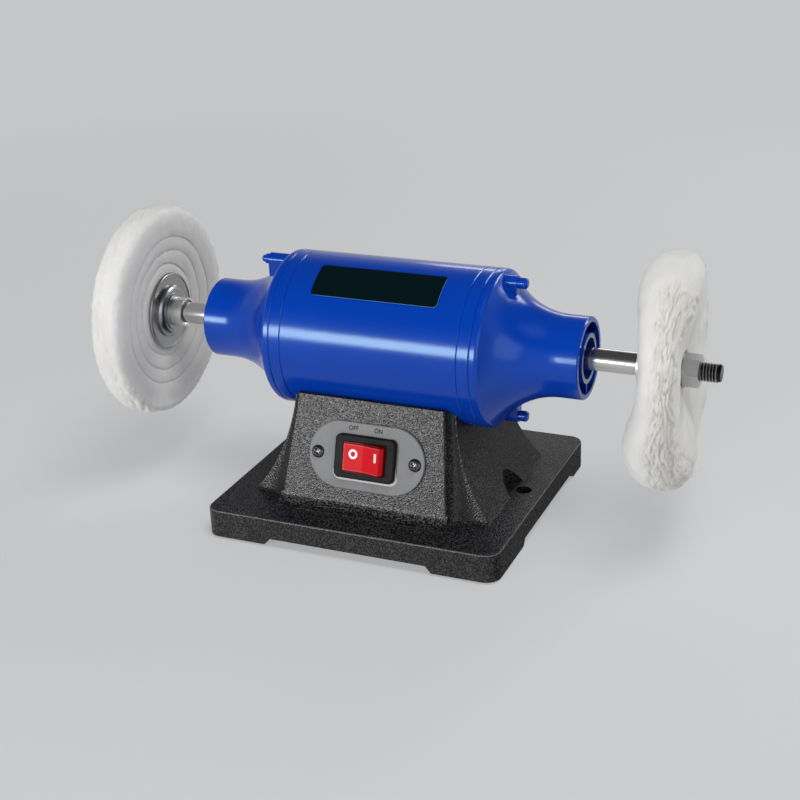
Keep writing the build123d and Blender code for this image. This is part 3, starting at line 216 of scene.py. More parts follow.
def motorBlueFinish(name="motorBlue"):
    look = {"deep": rgb(0.0001, 0.0400, 0.375), "clear": rgb(0.0002, 0.0480, 0.430)}
    paint = Finish(name, Specular_IOR_Level=0.45, Specular_Tint=rgb(0.64, 0.94, 1.0))
    cloud = paint.grain(14.0, 2.0)
    peel = paint.grain(420.0, 2.0, 0.5)
    paint.feed(Base_Color=paint.blend(paint.level(cloud, 0.3, 0.7), look["deep"], look["clear"]))
    paint.feed(Roughness=paint.level(cloud, 0.3, 0.7, 0.16, 0.19))
    paint.feed(Normal=paint.bump(peel, 0.045, 0.0003))
    return paint


def plateDarkFinish():
    look = {
        "deep": rgb(0.0008, 0.0060, 0.0085), "clear": rgb(0.0020, 0.0100, 0.0130), "rim": rgb(0.12, 0.34, 0.56),
        "brush": (30.0, 1500.0, 1500.0), "edgeLightTilt": (0.85, 0.6),
    }
    sheet = Finish("plateDark", Specular_IOR_Level=0.04)
    brushed = sheet.grain(1.0, 3.0, 0.6, sheet.stretched(look["brush"]))
    reach, depth, rise, radius = bySpindle(sheet)
    across, along, up = sheet.normal()
    outward = (along * depth + up * rise) / radius
    face = sheet.blend(brushed, look["deep"], look["clear"])
    # painted highlight: light blue on the plate's edges, where they turn away from the outward way
    sheet.feed(Base_Color=sheet.blend(sheet.level(outward, *look["edgeLightTilt"]), face, look["rim"]))
    sheet.feed(Roughness=sheet.level(brushed, 0.3, 0.7, 0.36, 0.46))
    return sheet


def mouldedFinish(name, dark, pale, smooth, matt, scale=900.0, height=0.12, **fixed):
    plastic = Finish(name, **fixed)
    spark = plastic.grain(scale, 2.0, 0.55)
    cloud = plastic.grain(60.0, 2.0)
    plastic.feed(Base_Color=plastic.blend(plastic.level(cloud, 0.3, 0.7), rgb(*dark), rgb(*pale)))
    plastic.feed(Roughness=plastic.level(spark, 0.3, 0.7, smooth, matt))
    plastic.feed(Normal=plastic.bump(spark, height, 0.0002))
    return plastic


# red rocker: painted shade on its flanks and right end, painted highlights along its rims
def rockerFinish():
    look = {
        "red": rgb(0.66, 0.0075, 0.016), "flank": rgb(0.10, 0.0015, 0.003), "rim": rgb(0.86, 0.11, 0.12),
        "highlightShare": 0.6,
        # mm from the hinge between which a zone fades in or out
        "side": (13.0, 13.4), "sideTop": (5.0, 4.0), "topFlank": (8.5, 9.0), "lowFlank": (-9.0, -9.4),
        "topRim": (7.9, 8.3), "topRimEnd": (8.9, 8.5), "lowRim": (-8.5, -8.8), "lowRimEnd": (-9.3, -9.0),
        "leftRim": (-14.2, -14.6), "rimEnd": (13.2, 12.6),
    }
    plastic = Finish("rockerRed", Specular_IOR_Level=0.12)
    hinge, axis = joints["rocker_tilt"]["pos_m"], joints["rocker_tilt"]["axis"]
    x, y, z = plastic.parts(plastic.place())
    across, depth, height = (x - hinge[0]) / mm, y - hinge[1], z - hinge[2]
    rise = (depth * axis[1] + height * axis[2]) / mm
    lift = (height * axis[1] - depth * axis[2]) / mm
    # painted shade: deep red on the flanks and the right end
    side = plastic.level(across, *look["side"]) * plastic.level(lift, *look["sideTop"])
    flank = plastic.level(rise, *look["topFlank"]) + plastic.level(rise, *look["lowFlank"]) + side
    # painted highlight: a paler red line just inside the top, lower and left rims
    top = plastic.level(rise, *look["topRim"]) * plastic.level(rise, *look["topRimEnd"])
    low = plastic.level(rise, *look["lowRim"]) * plastic.level(rise, *look["lowRimEnd"])
    rim = (top + low + plastic.level(across, *look["leftRim"])) * plastic.level(across, *look["rimEnd"])
    face = plastic.blend(plastic.level(rim, 0.0, 1.0) * look["highlightShare"], look["red"], look["rim"])
    plastic.feed(Base_Color=plastic.blend(plastic.level(flank, 0.0, 1.0), face, look["flank"]))
    spark = plastic.grain(500.0, 2.0, 0.55)
    plastic.feed(Roughness=plastic.level(spark, 0.3, 0.7, 0.42, 0.48))
    plastic.feed(Normal=plastic.bump(spark, 0.03, 0.0002))
    return plastic


def metalFinish(name, dark, pale, smooth, matt, scale=2600.0, height=0.02, **fixed):
    metal = Finish(name, Metallic=1.0, **fixed)
    rings = turnedGrain(metal, scale)
    stain = metal.grain(38.0, 3.0, 0.55)
    tone = metal.level(stain, 0.25, 0.75) * 0.6 + metal.level(rings, 0.25, 0.75) * 0.4
    metal.feed(Base_Color=metal.blend(tone, rgb(*dark), rgb(*pale)))
    metal.feed(Roughness=metal.level(rings, 0.3, 0.7, smooth, matt))
    metal.feed(Normal=metal.bump(rings, height, 0.0001))
    return metal


# screw threads: dark in the roots, bright on the crests
def threadFinish(root, crest):
    metal = Finish("threadSteel", Metallic=1.0)
    reach, depth, rise, radius = bySpindle(metal)
    worn = metal.level(radius, root * mm, crest * mm)
    oil = metal.grain(420.0, 3.0, 0.6)
    metal.feed(Base_Color=metal.blend(worn, rgb(0.022, 0.022, 0.023), rgb(0.40, 0.40, 0.41)))
    metal.feed(Roughness=metal.level(oil, 0.3, 0.7, 0.24, 0.38))
    return metal


def windingFinish():
    copper = Finish("copper", Metallic=1.0)
    reach, depth, rise, radius = bySpindle(copper)
    turns = copper.grain(1.0, 2.0, 0.5, copper.joined(reach * 700.0, radius * 1600.0, depth * 90.0))
    copper.feed(Base_Color=copper.blend(turns, rgb(0.30, 0.10, 0.03), rgb(0.62, 0.28, 0.11)))
    copper.feed(Roughness=copper.level(turns, 0.3, 0.7, 0.28, 0.5), Normal=copper.bump(turns, 0.6, 0.0006))
    return copper


def stackFinish():
    steel = Finish("laminations", Metallic=1.0)
    x, y, z = steel.parts(steel.place())
    stacked = {"Vector": steel.joined(x * 320.0, 0.0, 0.0), "Scale": 1.0}
    sheets = steel.node("TexWave", {"bands_direction": "X"}, stacked)
    rust = steel.grain(220.0, 3.0, 0.6)
    steel.feed(Base_Color=steel.blend(rust, rgb(0.20, 0.19, 0.19), rgb(0.36, 0.36, 0.38)))
    steel.feed(Roughness=steel.level(rust, 0.3, 0.7, 0.42, 0.55), Normal=steel.bump(sheets, 0.35, 0.0003))
    return steel


def cottonFinish(name, shade, cloth, bright):
    weft = Finish(name, Specular_IOR_Level=0.12, Sheen_Weight=0.2, Sheen_Roughness=0.6)
    paintedShade = weft.attribute("paintedShade")
    fluff = weft.grain(850.0, 4.0, 0.65)
    cloud = weft.grain(55.0, 3.0, 0.55)
    weave = weft.cells(2600.0)
    plain = weft.blend(weft.level(cloud, 0.3, 0.7), rgb(*cloth), rgb(*bright))
    # painted shade: a per-vertex value blends the cloth towards the shade tone
    weft.feed(Base_Color=weft.blend(paintedShade, plain, rgb(*shade)))
    weft.feed(Roughness=weft.level(fluff, 0.3, 0.7, 0.82, 0.98))
    weft.feed(Normal=weft.bump(fluff * 0.8 + weave * 0.3, 0.32, 0.0006))
    return weft


# each finish by the record's slot: dark and pale tone, then the span of its roughness
finishes = {
    "cast_black": castBlackFinish(),
    "motor_blue": motorBlueFinish(),
    "bolt_blue": motorBlueFinish("boltBlue"),
    "plate_dark": plateDarkFinish(),
    "switch_grey": mouldedFinish("switchGrey", (0.175, 0.178, 0.184), (0.20, 0.203, 0.21), 0.46, 0.56),
    "switch_black": mouldedFinish(
        "switchBlack", (0.005, 0.004, 0.004), (0.009, 0.008, 0.008), 0.48, 0.60, Specular_IOR_Level=0.16
    ),
    "rocker_red": rockerFinish(),
    "steel_bright": metalFinish(
        "steelBright", (0.60, 0.595, 0.585), (0.70, 0.695, 0.68), 0.20, 0.26, height=0.004
    ),
    "steel_dark": metalFinish("steelDark", (0.07, 0.07, 0.072), (0.13, 0.13, 0.135), 0.26, 0.38),
    "steel_grey": metalFinish("steelGrey", (0.30, 0.30, 0.31), (0.42, 0.42, 0.43), 0.32, 0.44),
    "laminations": stackFinish(),
    "copper": windingFinish(),
    "cast_aluminium": metalFinish(
        "castAluminium", (0.50, 0.51, 0.52), (0.64, 0.65, 0.66), 0.42, 0.6, scale=900.0, height=0.3
    ),
    "cotton": cottonFinish("cotton", (0.50, 0.485, 0.455), (0.76, 0.75, 0.725), (0.82, 0.815, 0.79)),
    "rubber_black": mouldedFinish(
        "rubberBlack", (0.009, 0.009, 0.009), (0.016, 0.016, 0.016), 0.62, 0.8, scale=700.0, height=0.25
    ),
    "plastic_white": mouldedFinish("plasticWhite", (0.66, 0.64, 0.58), (0.74, 0.72, 0.67), 0.28, 0.38),
    "brass": metalFinish("brass", (0.48, 0.33, 0.11), (0.66, 0.48, 0.19), 0.26, 0.4),
}
# finishes that a slot shares out among pieces of different tone, one of them a painted highlight
markWhite = mouldedFinish("markWhite", (0.80, 0.80, 0.78), (0.86, 0.86, 0.84), 0.35, 0.45)
highlightPale = mouldedFinish("highlightPale", (0.54, 0.54, 0.53), (0.60, 0.60, 0.59), 0.4, 0.5)
printDark = mouldedFinish(
    "printDark", (0.004, 0.004, 0.004), (0.007, 0.007, 0.007), 0.6, 0.7, Specular_IOR_Level=0.1
)
frayed = cottonFinish("frayedCotton", (0.60, 0.57, 0.51), (0.84, 0.82, 0.77), (0.90, 0.885, 0.85))
flangeSteel = metalFinish("flangeSteel", (0.30, 0.30, 0.30), (0.40, 0.40, 0.40), 0.24, 0.32, height=0.008)
nutSteel = metalFinish("nutSteel", (0.52, 0.52, 0.53), (0.62, 0.62, 0.63), 0.34, 0.44, scale=700.0, height=0.03)
sleeveSteel = metalFinish("sleeveSteel", (0.84, 0.84, 0.835), (0.94, 0.94, 0.93), 0.40, 0.50, height=0.006)
threadSteel = threadFinish(root=5.8, crest=6.3)
ownFinish = {
    "left_flange": flangeSteel, "right_flange": flangeSteel, "left_nut": nutSteel, "right_nut": nutSteel,
    "left_sleeve": sleeveSteel, "right_sleeve": sleeveSteel,
}
for subpart in frame["record"]["subparts"]:
    mesh = nodes[subpart["node"]].data
    mesh.materials.clear()
    mesh.materials.append(ownFinish.get(subpart["node"], finishes[subpart["material_slot"]]).material)
print("finishes made:", len(finishes))


# a form made into a piece, with its body, its slot and the nodes it stands for
def finished(name, form, body, slot, stands=(), angle=32, finish=None):
    mesh = bpy.data.meshes.new(name)
    form.to_mesh(mesh)
    form.free()
    piece = bpy.data.objects.new(name, mesh)
    scene.collection.objects.link(piece)
    mesh.materials.append((finish or finishes[slot]).material)
    mesh.shade_smooth()
    mesh.set_sharp_from_angle(angle=radians(angle))
    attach(piece, body)
    if stands:
        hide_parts(*stands)
    return piece


def closeForm(form, gap=1e-6):
    bmesh.ops.remove_doubles(form, verts=form.verts, dist=gap)
    bmesh.ops.recalc_face_normals(form, faces=form.faces)
    return form


# a closed ring of points
def joinedRing(form, places):
    ring = [form.verts.new(place) for place in places]
    return ring, [form.edges.new(pair) for pair in zip(ring, ring[1:] + ring[:1])]


def spunRound(form, ring, edges, steps):
    spinning = {"cent": (0, 0, axisZ), "axis": acrossX, "angle": tau, "steps": steps, "use_merge": True}
    bmesh.ops.spin(form, geom=ring + edges, **spinning)


# a profile of (reach, radius) in mm, turned round the spindle
def turned(profile, steps, way=1):
    form = bmesh.new()
    places = [(way * reach * mm, 0, axisZ + radius * mm) for reach, radius in profile]
    spunRound(form, *joinedRing(form, places), steps)
    return form


# the way out from the spindle's axis to a point
def outFrom(point):
    return Vector((0, point.y, point.z - axisZ))


# a point at a reach along the spindle, a radius from it and an angle round it, in mm
def roundPoint(reach, radius, angle):
    return Vector((reach, radius * cos(angle), axisZ / mm + radius * sin(angle))) * mm


def copied(node):
    form = bmesh.new()
    form.from_mesh(nodes[node].data)
    bmesh.ops.remove_doubles(form, verts=form.verts, dist=2e-6)
    bmesh.ops.dissolve_degenerate(form, edges=form.edges, dist=1e-6)
    return form


def smoothStep(low, high, value):
    share = min(max((value - low) / (high - low), 0.0), 1.0)
    return share * share * (3 - 2 * share)


def ridged(point):
    return 1 - abs(noise.noise(point)) * 2


def absorb(form, other):
    part = bpy.data.meshes.new("part")
    other.to_mesh(part)
    other.free()
    form.from_mesh(part)
    bpy.data.meshes.remove(part)


# the mesh of a curve, which is then cleared away
def curveForm(name, line):
    holder = bpy.data.objects.new(name + "Line", line)
    part = bpy.data.meshes.new_from_object(holder)
    form = bmesh.new()
    form.from_mesh(part)
    bpy.data.meshes.remove(part)
    bpy.data.objects.remove(holder)
    bpy.data.curves.remove(line)
    return form


# loose threads: thin tapering tubes along lists of points
threadLooks = {"taper": 0.75, "lengths": (0.45, 1.15), "lifts": (0.3, 1.3), "bend": 0.16, "arc": 0.8, "sunk": 0.12}


def threadBundle(name, paths, thickness, finish=None):
    line = bpy.data.curves.new(name, "CURVE")
    line.dimensions, line.bevel_depth, line.bevel_resolution = "3D", thickness * mm, 0
    line.use_fill_caps = True
    for points in paths:
        spline = line.splines.new("POLY")
        spline.points.add(len(points) - 1)
        for place, (knot, point) in enumerate(zip(spline.points, points)):
            knot.co = (*point, 1.0)
            knot.radius = 1 - threadLooks["taper"] * place / (len(points) - 1)
    form = closeForm(curveForm(name, line), 1e-7)
    return finished(name, form, "spindle", "cotton", angle=180, finish=finish)


# stitched buff on the left
leftBuff = {
    "motorFace": 181.0, "hubThick": 14.8, "thick": 22.0, "radius": 75.0, "bore": 6.45, "land": 28.6,
    "dishEnd": 66.0, "freeEnd": 33.0, "rimRound": 5.5, "crown": 0.8, "hubRadii": (16.0, 24.0), "rowsFrom": 26.5,
    "rows": 84, "bendRows": 10, "rimRows": 18, "steps": 384,
    # rows of stitches, and the channel and the pillow they draw into the cloth: width, depth
    "rings": (33.5, 43.5, 53.5), "ringReach": 9.0, "wander": (1.1, 0.3), "channel": (0.6, 0.8),
    "pillow": (3.4, 0.5), "stitch": 6.2, "stitchKnots": 5, "stitchSunk": 1.35, "stitchBow": 0.25,
    "stitchThick": 0.22,
    # radii over which the rim frays and the painted shade on the faces ends; place and width of the lip
    "rim": (66.0, 73.0), "lip": (71.5, 2.4), "faceShade": 0.30, "faceShadeEnd": (62.0, 70.0),
    "fuzzFrom": 69.0, "strands": 1000, "seed": 11,
}


def leftBuffHalf(radius):
    half, hub, bend = leftBuff["thick"] / 2, leftBuff["hubThick"] / 2, leftBuff["rimRound"]
    flat = hub + (half - hub) * smoothStep(leftBuff["land"], leftBuff["dishEnd"], radius)
    over = min(max((radius - leftBuff["radius"] + bend) / bend, 0.0), 1.0)
    return flat - bend * (1 - sqrt(1 - over * over))


def leftBuffProfile():
    size = leftBuff
    middle = size["motorFace"] + size["hubThick"] / 2
    bend, rim, start = size["rimRound"], size["radius"], size["rowsFrom"]
    edge = size["thick"] / 2 - bend
    radii = [size["bore"], *size["hubRadii"]]
    radii += [start + (rim - bend - start) * k / size["rows"] for k in range(size["rows"])]
    radii += [rim - bend + bend * sin(pi / 2 * k / size["bendRows"]) for k in range(size["bendRows"] + 1)]
    shares = [-1 + 2 * k / size["rimRows"] for k in range(1, size["rimRows"])]
    inner = [(middle - leftBuffHalf(radius), radius) for radius in radii]
    outer = [(middle + leftBuffHalf(radius), radius) for radius in radii[::-1]]
    return inner + [(middle + edge * t, rim + size["crown"] * (1 - t * t)) for t in shares] + outer


# the sewing wanders a little from its circle
def ringPlace(ring, angle, side):
    spot = Vector((cos(angle), sin(angle), side * 0.7))
    drift = noise.noise(spot * 1.6 + Vector((ring, 0, 0)))
    jitter = noise.noise(spot * 8 + Vector((0, ring, 0)))
    return ring + leftBuff["wander"][0] * drift + leftBuff["wander"][1] * jitter


def makeLeftBuff():
    size = leftBuff
    (channelWide, channelDeep), (pillowWide, pillowDeep) = size["channel"], size["pillow"]
    lipAt, lipWide = size["lip"]
    form = closeForm(turned(leftBuffProfile(), size["steps"], -1))
    layer = form.verts.layers.float.new("paintedShade")
    form.normal_update()
    moves = []
    for vert in form.verts:
        x, across, up = vert.co.x / mm, vert.co.y / mm, (vert.co.z - axisZ) / mm
        radius, angle = sqrt(across * across + up * up), atan2(up, across)
        side = 1 if vert.normal.x > 0 else -1
        around = Vector((cos(angle), sin(angle), 0)) * 10
        depth, dark = 0.0, 0.0
        for ring in size["rings"]:
            if abs(radius - ring) > size["ringReach"]:
                continue
            gap = radius - ringPlace(ring, angle, side)
            near = exp(-((gap / channelWide) ** 2))
            strength = 0.65 + 0.5 * noise.noise(around * 0.25 + Vector((0, 0, ring)))
            depth -= near * channelDeep * strength + exp(-((gap / pillowWide) ** 2)) * pillowDeep
            # painted shade in the stitch channels
            dark = max(dark, near * 0.62 * strength)
        free = smoothStep(size["land"], size["freeEnd"], radius)
        rim = smoothStep(*size["rim"], radius)
        lip = exp(-(((radius - lipAt) / lipWide) ** 2))
        # soft lumps on the faces, loose fibres, dents and tufts on the rim, and a ragged lip
        puff = noise.noise(Vector((across, up, side * 40)) / 13) * 0.5
        puff += noise.noise(Vector((across, up, 9)) / 5) * 0.2
        fray = noise.noise(Vector((x / 2.2, 0, 3)) + around * 1.2) * 0.5
        dent = min(noise.noise(Vector((x / 5, 0, 8)) + around * 0.7) + 0.16, 0.0) * 1.5
        tuft = noise.noise(Vector((x / 1.3, 0, 5)) + around * 4) * 0.3
        ragged = noise.noise(around * 1.9 + Vector((0, 0, side * 5))) * 0.5 + noise.noise(around * 5) * 0.25
        depth += free * puff * 0.9 + rim * (fray + dent + tuft) + lip * ragged
        # painted shade in the dents of the rim
        dark = max(dark, rim * min(max(-dent - 0.3, 0) * 0.5, 0.45))
        # painted shade over the faces, fading out towards the rim
        faceShadeShare = size["faceShade"] * (1 - smoothStep(*size["faceShadeEnd"], radius))
        vert[layer] = min(dark + faceShadeShare, 1.0)
        moves.append(vert.normal * depth * free * mm)
    for vert, move in zip(form.verts, moves):
        vert.co += move
    return finished("stitchedBuff", form, "spindle", "cotton", ("left_buff",), 180)


# a stitch fills the middle of its share of the row and bows up between its ends
def makeStitches():
    size = leftBuff
    middle, knots = size["motorFace"] + size["hubThick"] / 2, size["stitchKnots"]
    paths = []
    for side in (-1, 1):
        for ring in size["rings"]:
            count = round(tau * ring / size["stitch"])
            for number in range(count):
                points = []
                for k in range(knots):
                    angle = tau * (number + 0.2 + 0.15 * k) / count
                    radius = ringPlace(ring, angle, -side)
                    bow = size["stitchBow"] * sin(pi * k / (knots - 1))
                    reach = middle + side * (leftBuffHalf(radius) - size["stitchSunk"] + bow)
                    points.append(roundPoint(-reach, radius, angle))
                paths.append(points)
    return threadBundle("stitchThread", paths, size["stitchThick"])


# threads that lie along a rim, each a little off its neighbours
def rimThreads(places, seed, length, lift, spread, knots=5):
    look = threadLooks
    draw = random.Random(seed)
    paths = []
    for point, normal, along in places:
        heading = (along * draw.choice((-1, 1)) + normal.cross(along) * draw.gauss(0, spread)).normalized()
        size = length * draw.uniform(*look["lengths"]) * mm
        rise = lift * draw.uniform(*look["lifts"]) * mm
        bend = normal.cross(heading) * draw.gauss(0, look["bend"]) * size
        path = []
        for t in [k / (knots - 1) for k in range(knots)]:
            up = rise * (sin(pi * t * look["arc"]) - look["sunk"])
            path.append(point + heading * size * t + normal * up + bend * t * t)
        paths.append(path)
    return paths


# points spread over the faces of a piece that a test lets through, with the way round the spindle
def scattered(piece, count, seed, wanted):
    draw = random.Random(seed)
    faces = [face for face in piece.data.polygons if wanted(face)]
    sums, total = [], 0.0
    for face in faces:
        total += face.area
        sums.append(total)
    spots = []
    for face in draw.choices(faces, cum_weights=sums, k=count):
        shares = [draw.random() for corner in face.vertices]
        corners = [piece.data.vertices[number].co * share for number, share in zip(face.vertices, shares)]
        point = sum(corners, Vector()) / sum(shares)
        around = acrossX.cross(outFrom(point))
        along = (around - face.normal * around.dot(face.normal)).normalized()
        spots.append((point, face.normal.copy(), along))
    return spots


def onLeftRim(face):
    return outFrom(face.center).length > leftBuff["fuzzFrom"] * mm


stitchedBuff = makeLeftBuff()
makeStitches()
rimSpots = scattered(stitchedBuff, leftBuff["strands"], leftBuff["seed"], onLeftRim)
fuzz = rimThreads(rimSpots, seed=12, length=3.2, lift=0.4, spread=0.5)
threadBundle("stitchedBuffFuzz", fuzz, 0.08)
print("stitched buff made:", len(stitchedBuff.data.polygons), "faces")

# loose buff on the right, whose plies swell over the flange and fray at the rim
rightBuff = {
    "motorFace": 181.0, "hubEnd": 195.8, "bore": 6.45, "innerLand": 29.5, "outerLand": 11.2, "collar": (2.6, 0.3),
    "belly": 1.5, "square": 0.87, "steps": 420, "faceRows": 36, "faceEase": 1.6, "rimRows": 96,
    "strands": 3000, "tufts": 150, "seed": 31,
    # half thickness, middle and radius of the rim every 30 degrees, from the back over the top
    "sections": (
        (13.5, 185.5, 76.4), (12.2, 187.2, 75.2), (11.5, 190.6, 74.0), (18.6, 190.3, 75.7),
        (17.8, 192.6, 76.0), (12.8, 195.3, 77.3), (12.5, 196.0, 76.0), (17.9, 190.6, 77.7),
        (18.8, 191.6, 77.5), (17.5, 191.8, 79.1), (13.1, 188.9, 77.0), (14.7, 188.4, 76.4),
    ),
    # where the frayed band, the faces and the clamped hub begin and end, by place along the rim
    "band": (-0.2, 0.25), "bandEnd": (1.0, 1.05), "face": (0.9, 1.1), "clamped": (1.75, 2.0),
    # the band is smooth over the very top, and the outer ply has torn on the operator's side
    "smoothTop": (0.80, 0.97), "smoothShare": 0.85, "tornSide": (0.1, 0.5),
    # lumps: size and height; drift: rate and share; strands: count, rate, height and shift
    "lumps": ((26, 1.3), (9, 0.45)), "drift": ((0.3, 0.12), (0.9, 0.05)),
    "strandRows": ((12, 0.5, 0.45, 2), (27, 1.3, 0.35, 6)), "bandSunk": 0.4,
    "splitRows": (9, 0.6, 9), "splitFrom": 0.70, "splitDeep": 4.5,
    "tornAt": 0.99, "tornWaves": ((0.55, 0.08), (2.1, 0.04)), "tornEdge": 0.012, "tornEnd": (1.25, 1.7),
    "tornDeep": 2.2,
    "foldWide": 15, "foldWander": (22, 0.3), "foldLong": 90, "foldFrom": 0.78, "foldDeep": 2.5,
    # faces that take threads, by radius and normal: the band and the torn edge
    "bandFrom": 63.0, "bandNormal": 0.88, "tornRadii": (57.0, 66.0), "tornNormal": 0.8,
}


# a smooth curve through values that stand at even steps round the rim
def aroundRim(values, angle):
    place = angle / tau * len(values) % len(values)
    start = int(place)
    t = place - start
    four = [values[(start + shift) % len(values)] for shift in (-1, 0, 1, 2)]
    curve = []
    for a, b, c, d in zip(*four):
        curve.append(b + t * (c - a + t * (2 * a - 5 * b + 4 * c - d + t * (3 * b - a - 3 * c + d))) / 2)
    return curve


# section at an angle: reach, radius, place along the rim (1 outer and -1 inner shoulder, 2 and -2 the hub)
def rightBuffSection(angle):
    size = rightBuff
    half, middle, radius = aroundRim(size["sections"], angle)
    shoulder, hub, back = radius - half, size["hubEnd"], size["motorFace"]
    rows = [(hub, size["bore"], 2.0), (hub, size["outerLand"], 2.0)]
    # the plies stand up round the washer
    collar, slope = size["collar"]
    start = hub + collar
    rows.append((start, size["outerLand"] + slope, 2.0))
    shares = [1 - (1 - k / size["faceRows"]) ** size["faceEase"] for k in range(1, size["faceRows"])]
    for t in shares:
        reach = start + (middle + half - start) * smoothStep(0, 1, t) + size["belly"] * sin(pi * t)
        rows.append((reach, size["outerLand"] + (shoulder - size["outerLand"]) * t, 2.0 - t))
    for k in range(size["rimRows"] + 1):
        turn = pi * k / size["rimRows"]
        across = copysign(abs(cos(turn)) ** size["square"], cos(turn))
        rows.append((middle + half * across, shoulder + half * abs(sin(turn)) ** size["square"], cos(turn)))
    for t in shares[::-1]:
        reach = back + (middle - half - back) * smoothStep(0, 1, t) - size["belly"] * sin(pi * t)
        rows.append((reach, size["innerLand"] + (shoulder - size["innerLand"]) * t, t - 2.0))
    return rows + [(back, size["innerLand"], -2.0), (back, size["bore"], -2.0)]


def bandShare(angle):
    return 1 - rightBuff["smoothShare"] * smoothStep(*rightBuff["smoothTop"], sin(angle))


def tornShare(angle):
    return smoothStep(*rightBuff["tornSide"], -cos(angle))


def strandNoise(along, drift, around, count, rate, shift):
    return ridged(Vector((along * count + drift * count, 0, shift)) + around * rate)


# the cloth at a point: how far it moves along its normal, how free it is to, and how much painted shade it takes
def looseCloth(x, y, z, along):
    size = rightBuff
    angle = atan2(z, y)
    around = Vector((0, cos(angle), sin(angle))) * 10
    spot = Vector((x, y, z))
    band = smoothStep(*size["band"], along) * (1 - smoothStep(*size["bandEnd"], along)) * bandShare(angle)
    face = smoothStep(*size["face"], abs(along))
    free = 1 - smoothStep(*size["clamped"], abs(along))
    lump = sum(noise.noise(spot / wide) * height for wide, height in size["lumps"])
    drift = sum(noise.noise(around * rate) * share for rate, share in size["drift"])
    strand = 0.0
    for count, rate, height, shift in size["strandRows"]:
        strand += strandNoise(along, drift, around, count, rate, shift) * height
    split = max(strandNoise(along, drift, around, *size["splitRows"]) - size["splitFrom"], 0) * size["splitDeep"]
    edge = sum((noise.noise(around * rate) * share for rate, share in size["tornWaves"]), size["tornAt"])
    torn = smoothStep(edge - size["tornEdge"], edge + size["tornEdge"], along)
    torn *= 1 - smoothStep(*size["tornEnd"], along)
    torn *= tornShare(angle)
    wanderLong, wander = size["foldWander"]
    bent = y / size["foldWide"] + wander * noise.noise(Vector((z / wanderLong, 0, 1)))
    crest = ridged(Vector((bent, z / size["foldLong"], copysign(5, along))))
    fold = max(crest - size["foldFrom"], 0) * size["foldDeep"]
    depth = lump + band * (strand - size["bandSunk"] - split) - torn * size["tornDeep"] - face * fold
    # painted shade under the torn edge of the outer ply
    under = torn * (1 - smoothStep(edge + 0.03, edge + 0.12, along))
    # painted shade in the splits and between the strands of the band, in the folds and over the outer face
    dark = band * (split * 0.5 + max(0.26 - strand, 0) * 0.6) + face * (fold * 0.2 + 0.14) + under * 0.4
    return depth, free, min(max(dark, 0.0), 0.8)


def makeRightBuff():
    steps = rightBuff["steps"]
    sections = [rightBuffSection(tau * k / steps) for k in range(steps)]
    form = bmesh.new()
    layer = form.verts.layers.float.new("paintedShade")
    order = form.verts.layers.int.new("row")
    ring, edges = joinedRing(form, [(reach * mm, radius * mm, axisZ) for reach, radius, along in sections[0]])
    for row, vert in enumerate(ring):
        vert[order] = row
    spunRound(form, ring, edges, steps)
    for vert in form.verts:
        angle = atan2(vert.co.z - axisZ, vert.co.y)
        reach, radius, along = sections[round(angle / tau * steps) % steps][vert[order]]
        vert.co = roundPoint(reach, radius, angle)
    closeForm(form)
    form.normal_update()
    moves = []
    for vert in form.verts:
        along = sections[0][vert[order]][2]
        depth, free, dark = looseCloth(vert.co.x / mm, vert.co.y / mm, (vert.co.z - axisZ) / mm, along)
        vert[layer] = dark
        moves.append(vert.normal * depth * free * mm)
    for vert, move in zip(form.verts, moves):
        vert.co += move
    return finished("looseBuff", form, "spindle", "cotton", ("right_buff",), 180)


# the frayed band lies on the outer half of the rim
def onFrayedBand(face):
    out = outFrom(face.center)
    worn = bandShare(atan2(out.z, out.y)) > 0.5 and out.length > rightBuff["bandFrom"] * mm
    return worn and 0 < face.normal.x < rightBuff["bandNormal"] and face.normal.dot(out) > 0


def onTornEdge(face):
    out = outFrom(face.center)
    low, high = rightBuff["tornRadii"]
    torn = tornShare(atan2(out.z, out.y)) > 0.5
    return torn and low * mm < out.length < high * mm and face.normal.x > rightBuff["tornNormal"]


looseBuff = makeRightBuff()
bandSpots = scattered(looseBuff, rightBuff["strands"], rightBuff["seed"], onFrayedBand)
edgeSpots = scattered(looseBuff, rightBuff["tufts"], rightBuff["seed"] + 1, onTornEdge)
threads = rimThreads(bandSpots, seed=32, length=8.0, lift=0.35, spread=0.22, knots=6)
threads += rimThreads(edgeSpots, seed=33, length=5.0, lift=0.5, spread=0.9)
threadBundle("looseBuffThreads", threads, 0.1, frayed)
print("loose buff made:", len(looseBuff.data.polygons), "faces")

# spindle, and the threads cut on both its ends
spindleSizes = {
    "core": 9.0, "coreReach": 109.0, "coreEdge": 0.6, "journal": 7.5, "shoulder": 178.0, "journalEdge": 0.5,
    "thread": 6.35, "root": 5.6, "end": 222.6, "endEdge": (0.4, 0.5), "overlap": 0.2, "pitch": 1.954, "runOut": 0.5,
    # the crest of the ridge by shares of the pitch, and how far its foot lies in the root
    "crest": (0.42, 0.58), "foot": 0.4, "steps": 96, "turnSteps": 40,
}


def makeSpindle():
    size = spindleSizes
    core, coreEnd, coreEdge = size["core"], size["coreReach"], size["coreEdge"]
    journal, shoulder, edge = size["journal"], size["shoulder"], size["journalEdge"]
    half = [
        (coreEnd - coreEdge, core), (coreEnd, core - coreEdge), (coreEnd, journal),
        (shoulder - edge, journal), (shoulder, journal - edge), (shoulder, 0.0),
    ]
    mirrored = [(-reach, radius) for reach, radius in half[::-1]]
    form = closeForm(turned(mirrored + half, size["steps"]))
    return finished("threadedSpindle", form, "spindle", "steel_bright", ("spindle",), 30)


